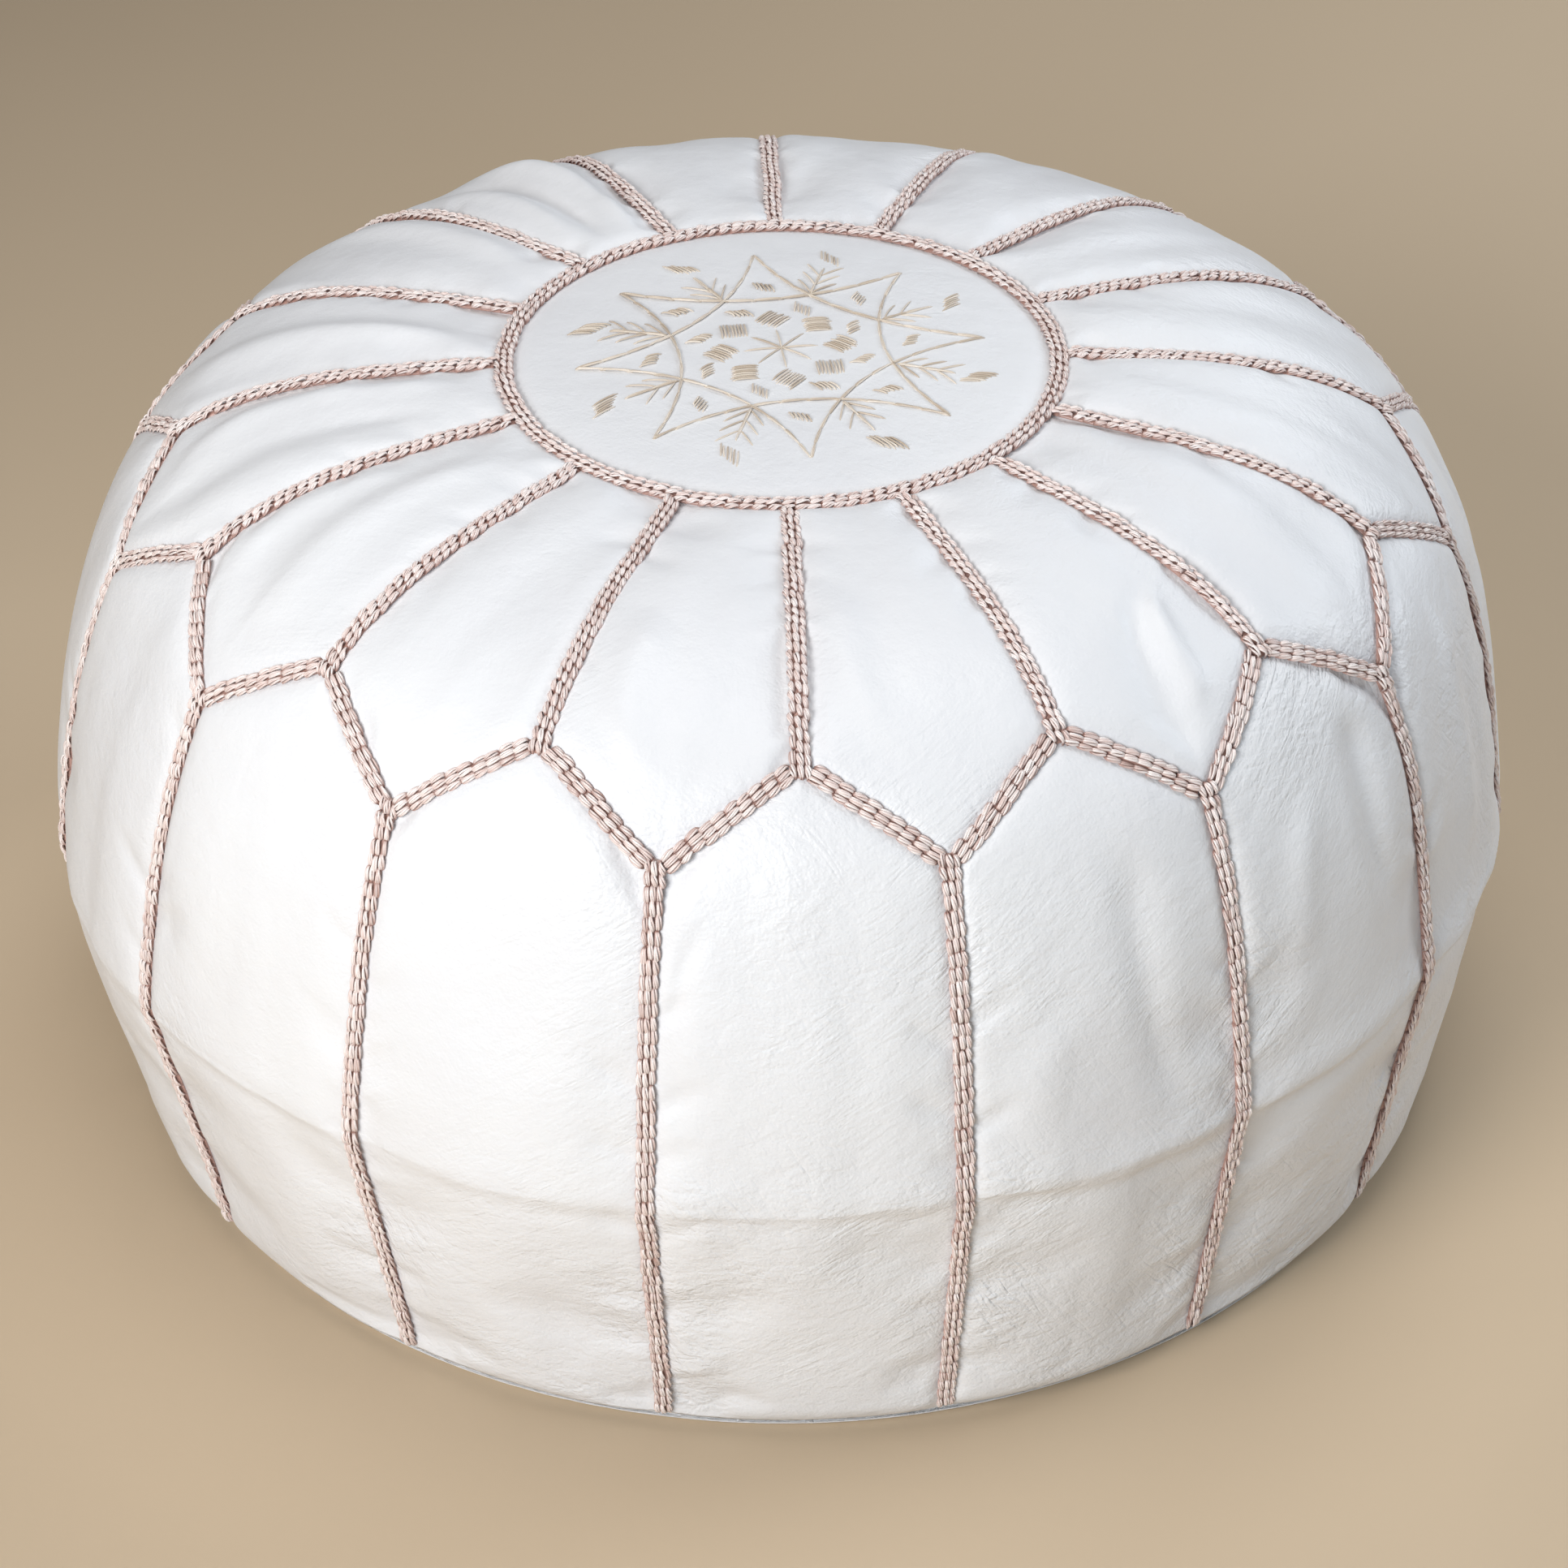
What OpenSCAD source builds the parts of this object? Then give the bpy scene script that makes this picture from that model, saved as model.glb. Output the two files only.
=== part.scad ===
// Moroccan leather pouf: a round white leather cover of a medallion, sixteen petals
// and sixteen side panels, joined by silk braids, over a stuffed cotton bag.
// The base has a zipper across it, sunk in a shallow channel.
// Millimetres, +Z up. The origin is the centre of the base, where the pouf rests.
// One of the sixteen radial seams points along -Y, which is the front.

/* [Body] */
// Largest diameter, at the fold round the belly
belly_d = 560; // [550:2:570]
// Height of that fold above the floor
belly_h = 123; // [115:1:130]
// Height of the crown of the medallion
body_h = 300; // [296:1:306]
// Diameter where the sides turn under
foot_d = 520; // [516:1:526]
// Height where the sides start to turn under
foot_h = 10; // [9:0.5:12]

/* [Top] */
// Diameter of the seam round the medallion, to the middle of its braid
medallion_d = 206; // [200:2:214]
// How far that seam lies below the crown
medallion_drop = 3; // [2:0.5:5]

/* [Zigzag seam] */
// Diameter through the sixteen peaks, where a radial seam forks
peak_d = 450; // [444:2:456]
// Height of the peaks
peak_h = 271; // [268:1:274]
// Diameter through the sixteen valleys, where a side seam starts
valley_d = 500; // [496:1:504]
// Height of the valleys
valley_h = 243; // [240:1:246]

/* [Leather and braids] */
// Thickness of the leather
leather_t = 1.5; // [1.2:0.1:1.8]
// Gap between neighbouring pieces of leather
seam_gap = 0.3; // [0.2:0.1:0.5]
// Width of a braid
braid_w = 7; // [6.5:0.1:7.5]
// How far a braid stands above the leather
braid_t = 2.2; // [1.8:0.1:2.6]
// Radius of the knots where braids meet
knot_r = 5; // [4.8:0.1:5.3]
// How far a knot stands above the leather
knot_t = 3; // [2.6:0.1:3.4]
// Thickness of the embroidery thread
stitch_t = 0.6; // [0.4:0.1:0.8]

/* [Base and zipper] */
// Length of the zipper's tapes
tape_l = 356; // [350:1:358]
// Travel of the zipper's slider
slider_travel = 300; // [280:5:300]
// Radius of the welt round the base
welt_r = 2.9; // [2.6:0.1:2.9]
// Depth of the channel that the zipper is sunk in
channel_h = 7.5; // [7.5:0.1:8]

/* [Filling] */
// Thickness of the cotton bag that holds the stuffing
bag_t = 0.8; // [0.6:0.1:1]
// Clearance between the leather and the bag
bag_gap = 0.5; // [0.4:0.1:0.6]

/* [Hidden] */
$fn = 64;

panels = 16;
step = 360 / panels;
front = -90;
far = 700;
sliver = 0.1;

leather = [0.94, 0.93, 0.92];
silk = [0.87, 0.76, 0.71];
gold_thread = [0.78, 0.70, 0.60];
cotton = [0.90, 0.88, 0.82];
fibre = [0.96, 0.96, 0.95];
tape_white = [0.92, 0.92, 0.91];
nickel = [0.72, 0.72, 0.70];

// Half of the body's outline: radius, height and heading at each station, from the
// crown down. Heading 0 runs outwards and -90 straight down.
crown = [0, body_h, 0];
ring = [medallion_d / 2, body_h - medallion_drop, -4];
peak = [peak_d / 2, peak_h, -37];
valley = [valley_d / 2, valley_h, -62];
belly_above = [belly_d / 2, belly_h, -82];
belly_below = [belly_d / 2, belly_h, -101];
belly_mid = -91.5;
foot = [foot_d / 2, foot_h, -100];

hem_h = 2 * welt_r + seam_gap;
hem_r = foot_d / 2 - 1.2;
hem_heading = -112;
welt_ring_r = foot_d / 2 - 6;
base_r = welt_ring_r - welt_r - seam_gap;
mid_seam = [0, 0, 45];

function span(a, b) = norm([b.x - a.x, b.y - a.y]);
function heading(angle) = [cos(angle), sin(angle)];

// A cubic arc from station a to station b, and its heading, at t from 0 to 1
function arc_point(a, b, t) =
    let (m = span(a, b))
    (2 * t ^ 3 - 3 * t ^ 2 + 1) * [a.x, a.y] + (t ^ 3 - 2 * t ^ 2 + t) * m * heading(a.z)
    + (3 * t ^ 2 - 2 * t ^ 3) * [b.x, b.y] + (t ^ 3 - t ^ 2) * m * heading(b.z);
function arc_heading(a, b, t) =
    let (
        m = span(a, b),
        v = (6 * t ^ 2 - 6 * t) * ([a.x, a.y] - [b.x, b.y])
            + (3 * t ^ 2 - 4 * t + 1) * m * heading(a.z) + (3 * t ^ 2 - 2 * t) * m * heading(b.z)
    )
    v / norm(v);

// The point at depth d under the surface, for a point p where the outline runs along h
function under(p, h, d) = p + d * [h.y, -h.x];
function arc_run(a, b, n, d) =
    [for (i = [0:n - 1]) under(arc_point(a, b, i / n), arc_heading(a, b, i / n), d)];

// The body's outline from the crown to the hem, at depth d under the leather's face
function outline(d) = concat(
    arc_run(crown, ring, 3, d),
    arc_run(ring, peak, 5, d),
    arc_run(peak, valley, 3, d),
    arc_run(valley, belly_above, 6, d),
    [under([belly_d / 2, belly_h], heading(belly_mid), d)],
    [for (i = [1:3]) under(arc_point(belly_below, foot, i / 3), heading(foot.z), d)],
    [under([hem_r, hem_h], heading(hem_heading), d)]
);
function backwards(list) = [for (i = [len(list) - 1:-1:0]) list[i]];

// The thin skin between two depths, from the crown to the hem
module skin(d_outer, d_inner) {
    rotate_extrude()
        polygon(concat(outline(d_outer), backwards(outline(d_inner))));
}

// A wedge of the given angle round +X, pulled back by half a seam gap on both sides
module wedge(angle) {
    translate([seam_gap / 2 / sin(angle / 2), 0, -1])
        linear_extrude(far)
            polygon([[0, 0], far * heading(-angle / 2), far * heading(angle / 2)]);
}

function on_outline(station, azimuth) =
    [station.x * cos(azimuth), station.x * sin(azimuth), station.y];

// The upward normal of the plane through the zigzag points p and q and mid_seam
function plane_normal(p, q) =
    let (n = cross(p - mid_seam, q - mid_seam))
    n / norm(n) * (n.z > 0 ? 1 : -1);
module along_plane(p, q) {
    n = plane_normal(p, q);
    translate(mid_seam)
        rotate([0, acos(n.z), atan2(n.y, n.x)])
            children();
}
module above_plane(p, q) {
    along_plane(p, q)
        translate([-far, -far, seam_gap / 2])
            cube(2 * far);
}
module below_plane(p, q) {
    along_plane(p, q)
        translate([-far, -far, -2 * far - seam_gap / 2])
            cube(2 * far);
}

// One petal, centred on a valley: from the medallion to the zigzag
module petal(i) {
    low = on_outline(valley, 0);
    color(leather)
        rotate(front + (i - 0.5) * step)
            intersection() {
                difference() {
                    skin(0, leather_t);
                    translate([0, 0, -1])
                        cylinder(r = medallion_d / 2 + seam_gap / 2, h = far);
                }
                wedge(step);
                above_plane(low, on_outline(peak, step / 2));
                above_plane(low, on_outline(peak, -step / 2));
            }
}

// One side panel, centred on a peak: from the zigzag down to the hem
module side_panel(i) {
    high = on_outline(peak, 0);
    color(leather)
        rotate(front + (i - 1) * step)
            intersection() {
                skin(0, leather_t);
                wedge(step);
                below_plane(high, on_outline(valley, step / 2));
                below_plane(high, on_outline(valley, -step / 2));
            }
}

module medallion() {
    color(leather)
        intersection() {
            skin(0, leather_t);
            translate([0, 0, body_h / 2])
                cylinder(r = medallion_d / 2 - seam_gap / 2, h = far);
        }
}

// The embroidery: sizes are shares of the free radius inside the ring braid
free_r = medallion_d / 2 - braid_w / 2;
star_tip = 0.77 * free_r;
star_pull = 0.216 * free_r;
star_turn = 6.5;
fold_8 = 45;
thread_w = 1.2;

module thread_line(p, q) {
    d = q - p;
    translate(p)
        rotate(atan2(d.y, d.x))
            translate([0, -thread_w / 2])
                square([norm(d), thread_w]);
}
module satin_diamond(r, half_l, half_w) {
    polygon([[r - half_l, 0], [r, half_w], [r + half_l, 0], [r, -half_w]]);
}
// One concave side of the star, from a tip to the next tip but one
module star_side() {
    a = star_tip * heading(-fold_8);
    b = star_tip * heading(fold_8);
    pull = [star_pull, 0];
    at = [for (i = [0:8]) let (t = i / 8) (1 - t) ^ 2 * a + 2 * t * (1 - t) * pull + t ^ 2 * b];
    for (i = [0:7])
        thread_line(at[i], at[i + 1]);
}
module sprig() {
    stem = 0.44 * free_r;
    bud = 0.755 * free_r;
    barb = 0.1 * free_r;
    thread_line([stem, 0], [0.66 * free_r, 0]);
    for (i = [0:2], side = [-1, 1]) {
        root = [stem + (i + 0.3) * 0.06 * free_r, 0];
        thread_line(root, root + barb * heading(side * 38));
    }
    satin_diamond(bud, 0.075 * free_r, 0.03 * free_r);
}
module embroidery_pattern() {
    for (i = [0:7])
        rotate(star_turn + i * fold_8) {
            thread_line([0, 0], [0.17 * free_r, 0]);
            satin_diamond(0.235 * free_r, 0.06 * free_r, 0.05 * free_r);
            satin_diamond(0.5 * free_r, 0.05 * free_r, 0.025 * free_r);
            star_side();
            rotate(fold_8 / 2) {
                satin_diamond(0.32 * free_r, 0.05 * free_r, 0.028 * free_r);
                sprig();
            }
        }
}
module medallion_embroidery() {
    color(gold_thread)
        intersection() {
            skin(-sliver - stitch_t, -sliver);
            translate([0, 0, body_h / 2])
                linear_extrude(far)
                    embroidery_pattern();
        }
}

// Sixteen copies round the body, from the front on: on the radial seams for an offset
// of 0, and on the side seams for 0.5
module round_the_body(offset_steps) {
    for (i = [0:panels - 1])
        rotate(front + (i + offset_steps) * step)
            children();
}

// The layer that the braids fill, just above the leather
module braid_layer() {
    skin(-sliver - braid_t, -sliver);
}
// A round stud square to the leather at a station on azimuth 0
module knot_stud(station, r) {
    p = on_outline(station, 0) - mid_seam;
    translate(mid_seam)
        rotate([0, acos(p.z / norm(p)), 0])
            cylinder(r = r, h = far);
}
module knot(station) {
    intersection() {
        skin(-sliver - knot_t, -sliver);
        knot_stud(station, knot_r);
    }
}
module ring_braid() {
    color(silk)
        intersection() {
            braid_layer();
            translate([0, 0, body_h / 2])
                difference() {
                    cylinder(r = medallion_d / 2 + braid_w / 2, h = far);
                    translate([0, 0, -1])
                        cylinder(r = medallion_d / 2 - braid_w / 2, h = far + 2);
                }
        }
}
module radial_braids() {
    inner = medallion_d / 2 + braid_w / 2 + seam_gap;
    color(silk)
        round_the_body(0)
            difference() {
                intersection() {
                    braid_layer();
                    translate([inner, -braid_w / 2, body_h / 2])
                        cube([peak_d / 2 - inner, braid_w, far]);
                }
                translate([0, 0, body_h / 2])
                    cylinder(r = inner, h = far);
                knot_stud(peak, knot_r + seam_gap);
            }
}
module zigzag_braid() {
    difference() {
        intersection() {
            braid_layer();
            rotate(step / 4)
                wedge(step / 2);
            along_plane(on_outline(peak, 0), on_outline(valley, step / 2))
                cube([2 * far, 2 * far, braid_w], center = true);
        }
        knot_stud(peak, knot_r + seam_gap);
        rotate(step / 2)
            knot_stud(valley, knot_r + seam_gap);
    }
}
module zigzag_braids() {
    color(silk)
        round_the_body(0) {
            zigzag_braid();
            mirror([0, 1, 0])
                zigzag_braid();
        }
}
module side_braids() {
    color(silk)
        round_the_body(0.5)
            difference() {
                intersection() {
                    braid_layer();
                    translate([medallion_d / 2, -braid_w / 2, 0])
                        cube([far, braid_w, valley_h]);
                }
                knot_stud(valley, knot_r + seam_gap);
            }
}
module peak_knots() {
    color(silk)
        round_the_body(0)
            knot(peak);
}
module valley_knots() {
    color(silk)
        round_the_body(0.5)
            knot(valley);
}

sewing_w = 0.5;
sewing_t = 0.3;

// The base: a disc in two halves that rises to a channel where the zipper lies along X
slot_half_w = 7.5;
slot_half_l = tape_l / 2 - 6;
flange_w = 12.5;
ramp_w = 14;
channel_top = channel_h + leather_t;

// A flat-topped mound of height h: top_x and top_y are its half sizes at the top
module mound(top_x, top_y, h) {
    intersection() {
        rotate([90, 0, 0])
            linear_extrude(2 * far, center = true)
                polygon([[-top_x - ramp_w, 0], [top_x + ramp_w, 0], [top_x, h], [-top_x, h]]);
        rotate([90, 0, 90])
            linear_extrude(2 * far, center = true)
                polygon([[-top_y - ramp_w, 0], [top_y + ramp_w, 0], [top_y, h], [-top_y, h]]);
    }
}
module base_leather() {
    top_x = slot_half_l + flange_w;
    top_y = slot_half_w + flange_w;
    difference() {
        union() {
            cylinder(r = base_r, h = leather_t);
            mound(top_x + leather_t, top_y + leather_t, channel_top);
        }
        translate([0, 0, -sliver])
            mound(top_x, top_y, channel_h + sliver);
        translate([-slot_half_l, -slot_half_w, 0])
            cube([2 * slot_half_l, 2 * slot_half_w, far]);
    }
}
// side is -1 for the front half and 1 for the back half
module base_half(side) {
    color(leather)
        intersection() {
            base_leather();
            translate([-far, side > 0 ? seam_gap / 2 : -far - seam_gap / 2, -far])
                cube([2 * far, far, 2 * far]);
        }
}
module base_welt() {
    color(leather)
        rotate_extrude()
            translate([welt_ring_r, welt_r])
                circle(r = welt_r, $fn = 32);
}
// Stitches in the leather just inside the welt, sunk in its upper face
module base_stitching() {
    stitches = 120;
    stitch_l = 8;
    from_edge = 5;
    lift = 0.05;
    color(tape_white)
        for (i = [0:stitches - 1])
            rotate((i + 0.5) * 360 / stitches)
                translate([base_r - from_edge, -stitch_l / 2, leather_t + lift])
                    cube([sewing_w, stitch_l, sewing_t]);
}

tape_z = channel_top + 0.1;
tape_t = 0.5;
tape_half_w = 16;
tape_inner = 0.9;
coil_w = 2.2;
coil_h = 2.1;
coil_half_l = 165;
stop_l = 4;
stop_z = tape_z - coil_h / 2 - 0.1;

module zipper_tape(side) {
    color(tape_white)
        translate([-tape_l / 2, side > 0 ? tape_inner : -tape_half_w, tape_z])
            cube([tape_l, tape_half_w - tape_inner, tape_t]);
}
module zipper_coil(side) {
    color(tape_white)
        translate([-coil_half_l, side * (tape_inner + coil_w / 2), tape_z - coil_h / 2])
            rotate([0, 90, 0])
                cylinder(d = coil_h, h = 2 * coil_half_l, $fn = 24);
}
module zipper_stops() {
    color(nickel)
        for (end = [-1, 1])
            translate([end * (coil_half_l + seam_gap + stop_l / 2), 0, stop_z])
                cube([stop_l, 2 * (tape_inner + coil_w), coil_h], center = true);
}

// The slider at rest, closed, near the +X end. Its two plates are joined by a thin
// blade that runs in the gap between the two coils. Wings on the lower plate hold the
// coils in, and two ears under it carry the pin of the pull.
slider_l = 14;
slider_w = 10;
slider_x = slider_travel / 2;
plate_t = 1;
lower_z = tape_z - coil_h - 0.4 - plate_t;
upper_z = tape_z + tape_t + 0.3;
blade_t = 0.9;
blade_l = slider_l / 2 - 2;
wing_t = 1;
wing_l = slider_l - 6;
wing_h = plate_t + 1.4;
pin_z = 3.3;
pin_r = 0.8;
pin_x = slider_x - 3;
ear_t = 1;
ear_in = 2.4;
ear_l = 3;
ear_low = pin_z - 1.2;
ear_high = lower_z + 0.2;
eye_r = 1.9;
pull_l = 24;
pull_w = 7;
pull_t = 1.4;
pull_hole_r = 1.5;

// A plate of the slider: round ends, straight sides
module slider_plate() {
    intersection() {
        translate([0, 0, plate_t / 2])
            cube([slider_l, slider_w, plate_t], center = true);
        union() {
            cylinder(r = slider_l / 2 - 1, h = plate_t);
            translate([0, 0, plate_t / 2])
                cube([slider_l, slider_w / 2, plate_t], center = true);
        }
    }
}
module zipper_slider() {
    wing_y = slider_w / 2 - wing_t;
    color(nickel)
        translate([slider_x, 0, 0]) {
            translate([0, 0, upper_z])
                slider_plate();
            translate([0, 0, lower_z])
                slider_plate();
            translate([0, -blade_t / 2, lower_z + plate_t / 2])
                cube([blade_l, blade_t, upper_z - lower_z]);
            for (y = [wing_y, -wing_y - wing_t])
                translate([-wing_l / 2, y, lower_z])
                    cube([wing_l, wing_t, wing_h]);
            for (y = [ear_in, -ear_in - ear_t])
                translate([pin_x - slider_x - ear_l / 2, y, ear_low])
                    cube([ear_l, ear_t, ear_high - ear_low]);
            translate([pin_x - slider_x, 0, pin_z])
                rotate([90, 0, 0])
                    cylinder(r = pin_r, h = 2 * ear_in + ear_t, center = true);
        }
}
// The pull lies along -X from its pin, flat in the channel
module zipper_pull() {
    eye_w = 2 * ear_in - 0.6;
    neck = 4;
    end_x = -pull_l + pull_w / 2;
    color(nickel)
        translate([pin_x, 0, pin_z])
            difference() {
                union() {
                    rotate([90, 0, 0])
                        cylinder(r = eye_r, h = eye_w, center = true);
                    translate([-neck - 1, -eye_w / 2, -pull_t / 2])
                        cube([neck + 1, eye_w, pull_t]);
                    translate([end_x, -pull_w / 2, -pull_t / 2])
                        cube([-neck - end_x, pull_w, pull_t]);
                    translate([end_x, 0, -pull_t / 2])
                        cylinder(r = pull_w / 2, h = pull_t);
                }
                rotate([90, 0, 0])
                    cylinder(r = pin_r + 0.2, h = 2 * eye_w, center = true);
                translate([end_x + 1, 0, -pull_t])
                    cylinder(r = pull_hole_r, h = 2 * pull_t);
            }
}
// Two rows of stitches that hold the tapes down on the leather's flanges
module zipper_stitching() {
    stitch_l = 6;
    stitch_step = 8.5;
    count = 40;
    row_y = 12;
    row_z = tape_z + tape_t + 0.2;
    color(tape_white)
        for (i = [0:count - 1], side = [-1, 1])
            translate([(i - (count - 1) / 2) * stitch_step, side * row_y, row_z])
                cube([stitch_l, sewing_w, sewing_t], center = true);
}

// The filling: a cotton bag that holds the stuffing, both grooved over the zipper
module filling(d, floor_z, groove_z) {
    wall_r = base_r - 1 - d;
    top_x = slot_half_l + flange_w + leather_t + groove_z - channel_top;
    top_y = slot_half_w + flange_w + leather_t + groove_z - channel_top;
    difference() {
        rotate_extrude()
            polygon(concat(
                outline(d),
                [[wall_r, hem_h + d / 4], [wall_r, floor_z], [0, floor_z]]
            ));
        mound(top_x, top_y, groove_z);
    }
}
bag_d = leather_t + bag_gap;
bag_floor = leather_t + bag_gap;
bag_groove = upper_z + plate_t + 0.7;
fill_gap = 0.3;
fill_d = bag_d + bag_t + fill_gap;

module cotton_bag() {
    color(cotton)
        difference() {
            filling(bag_d, bag_floor, bag_groove);
            filling(bag_d + bag_t, bag_floor + bag_t, bag_groove + bag_t);
        }
}
module stuffing() {
    color(fibre)
        filling(fill_d, bag_floor + bag_t + fill_gap, bag_groove + bag_t + fill_gap);
}

function two_digits(i) = i < 10 ? str("0", i) : str(i);

for (i = [1:panels]) {
    petal(i);
    side_panel(i);
}
medallion();
medallion_embroidery();
ring_braid();
radial_braids();
zigzag_braids();
side_braids();
peak_knots();
valley_knots();
base_half(-1);  // base_front
base_half(1);  // base_back
base_welt();
base_stitching();
zipper_tape(-1);  // zipper_tape_front
zipper_tape(1);  // zipper_tape_back
zipper_coil(-1);  // zipper_coil_front
zipper_coil(1);  // zipper_coil_back
zipper_stops();
zipper_slider();
zipper_pull();
zipper_stitching();
cotton_bag();
stuffing();
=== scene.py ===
# Looks of the Moroccan leather pouf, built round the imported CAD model. Metres, +Z up.
# A white leather skin of petals and side panels over a cotton bag, with silk braids on
# every seam, an embroidered medallion, and a zipper in a channel across the base.
import math

import bpy
import numpy as np
from mathutils import Matrix, Vector


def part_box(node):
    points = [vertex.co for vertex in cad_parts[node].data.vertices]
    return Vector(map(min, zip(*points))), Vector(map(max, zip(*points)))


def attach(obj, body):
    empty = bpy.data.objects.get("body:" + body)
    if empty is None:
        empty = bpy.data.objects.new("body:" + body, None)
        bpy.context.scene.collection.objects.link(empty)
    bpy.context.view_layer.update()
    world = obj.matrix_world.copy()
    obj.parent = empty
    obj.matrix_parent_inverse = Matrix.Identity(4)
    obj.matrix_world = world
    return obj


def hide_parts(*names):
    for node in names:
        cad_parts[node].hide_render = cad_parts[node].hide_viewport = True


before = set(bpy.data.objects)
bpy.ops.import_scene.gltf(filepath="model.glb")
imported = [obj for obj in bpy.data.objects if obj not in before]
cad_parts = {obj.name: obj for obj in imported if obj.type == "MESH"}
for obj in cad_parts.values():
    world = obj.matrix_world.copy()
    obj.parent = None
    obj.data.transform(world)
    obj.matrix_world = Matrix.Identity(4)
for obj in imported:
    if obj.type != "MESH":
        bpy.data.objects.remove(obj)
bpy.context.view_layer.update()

# ---------------------------------------------------------------- sizes
MM = 0.001
PANELS = 16
STEP = math.radians(360 / PANELS)
FRONT = math.radians(-90)

# Stations of the outline, the same as the CAD model's: radius, height, heading in degrees
CROWN_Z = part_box("medallion")[1].z
BELLY_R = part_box("side_panel_05")[1].x
RING_R = 103 * MM
CROWN = (0, CROWN_Z, 0)
RING = (RING_R, CROWN_Z - 3 * MM, -4)
PEAK = (225 * MM, 271 * MM, -37)
VALLEY = (250 * MM, 243 * MM, -62)
BELLY_ABOVE = (BELLY_R, 123 * MM, -82)
BELLY_BELOW = (BELLY_R, 123 * MM, -101)
FOOT = (260 * MM, 10 * MM, -100)
HEM = (258.8 * MM, 6.1 * MM)
ZIGZAG_APEX_Z = 45 * MM

LEATHER_T = 1.5 * MM
SEAM_GAP = 0.3 * MM
BRAID_W = 7 * MM
BRAID_T = 2.2 * MM
KNOT_R = 5 * MM
SEAM_DIP = 1.2 * MM
DOME_H = 1.2 * MM
UP = (0.0, 0.0, 1.0)


# ---------------------------------------------------------------- the outline
def distances_along(points):
    """How far along a line of points each of them is."""
    steps = np.linalg.norm(np.diff(points, axis=0), axis=1)
    return np.concatenate([[0], np.cumsum(steps)])


def polar(r, azimuth, z):
    """Points at a radius, azimuth and height."""
    return np.stack(np.broadcast_arrays(r * np.cos(azimuth), r * np.sin(azimuth), z), axis=-1)


def heading(degrees):
    """The unit vector (radius, height) of a heading."""
    return np.array([math.cos(math.radians(degrees)), math.sin(math.radians(degrees))])


def station_arc(a, b, count=160):
    """Points (radius, height) on the cubic arc from station a to station b."""
    t = np.linspace(0, 1, count)[:, None]
    start, end = np.array(a[:2]), np.array(b[:2])
    reach = np.linalg.norm(end - start)
    return (
        (2 * t**3 - 3 * t**2 + 1) * start
        + (t**3 - 2 * t**2 + t) * reach * heading(a[2])
        + (3 * t**2 - 2 * t**3) * end
        + (t**3 - t**2) * reach * heading(b[2])
    )


ARCS = [
    station_arc(CROWN, RING),
    station_arc(RING, PEAK),
    station_arc(PEAK, VALLEY),
    station_arc(VALLEY, BELLY_ABOVE),
    station_arc(BELLY_BELOW, FOOT),
    np.linspace(FOOT[:2], HEM, 12),
]
OUTLINE = np.concatenate([ARCS[0]] + [arc[1:] for arc in ARCS[1:]])
OUTLINE_S = distances_along(OUTLINE)
ARC_ENDS = np.cumsum([len(arc) - 1 for arc in ARCS])
S_RING, S_PEAK, S_VALLEY, S_BELLY, S_FOOT, S_HEM = (OUTLINE_S[i] for i in ARC_ENDS)
OUTLINE_HEADING = np.gradient(OUTLINE, OUTLINE_S, axis=0)


def outline_at(s):
    """Radius, height, and the outward normal's radius and height parts, at arc length s."""
    r, z, along_r, along_z = (
        np.interp(s, OUTLINE_S, values) for values in (*OUTLINE.T, *OUTLINE_HEADING.T)
    )
    size = np.hypot(along_r, along_z)
    return r, z, -along_z / size, along_r / size


def lopsided(azimuth, s):
    """How far the stuffing pushes the belly out of round: it leans to the front left."""
    hump = np.exp(-((s - S_BELLY + 0.01) / 0.075) ** 2)
    lean = 3.5 * np.cos(azimuth - math.radians(-150))
    three_lobes = 1.2 * np.cos(3 * azimuth + 0.6)
    return hump * MM * (lean + three_lobes)


def surface(azimuth, s, lift=0.0):
    """Points on the body at an azimuth and arc length, raised by lift along the normal."""
    r, z, normal_r, normal_z = outline_at(s)
    r = r + lift * normal_r + lopsided(azimuth, s)
    return polar(r, azimuth, z + lift * normal_z)


def surface_normal(azimuth, s):
    """The outline's outward normal at an azimuth and arc length."""
    _, _, normal_r, normal_z = outline_at(s)
    return polar(normal_r, azimuth, normal_z)


def zigzag_table():
    """Arc length of the zigzag seam for azimuths from a peak (0) to a valley (half a step)."""
    apex = np.array([0, 0, ZIGZAG_APEX_Z])
    peak = surface(0.0, S_PEAK) - apex
    valley = surface(STEP / 2, S_VALLEY) - apex
    normal = np.cross(peak, valley)
    s = np.linspace(S_PEAK - 0.01, S_VALLEY + 0.01, 400)
    offsets = np.linspace(0, STEP / 2, 65)
    found = []
    for offset in offsets:
        side = (surface(offset, s) - apex) @ normal
        order = np.argsort(side)
        found.append(np.interp(0, side[order], s[order]))
    return offsets, np.array(found)


ZIGZAG_OFFSETS, ZIGZAG_S = zigzag_table()


def zigzag_s(azimuth):
    """Arc length of the zigzag seam at any azimuth."""
    turn = (np.asarray(azimuth) - FRONT + STEP / 2) % STEP - STEP / 2
    return np.interp(np.abs(turn), ZIGZAG_OFFSETS, ZIGZAG_S)


# ---------------------------------------------------------------- noise
NOISE_SIZE = 64
NOISE = np.random.default_rng(11).random((NOISE_SIZE,) * 3)


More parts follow.
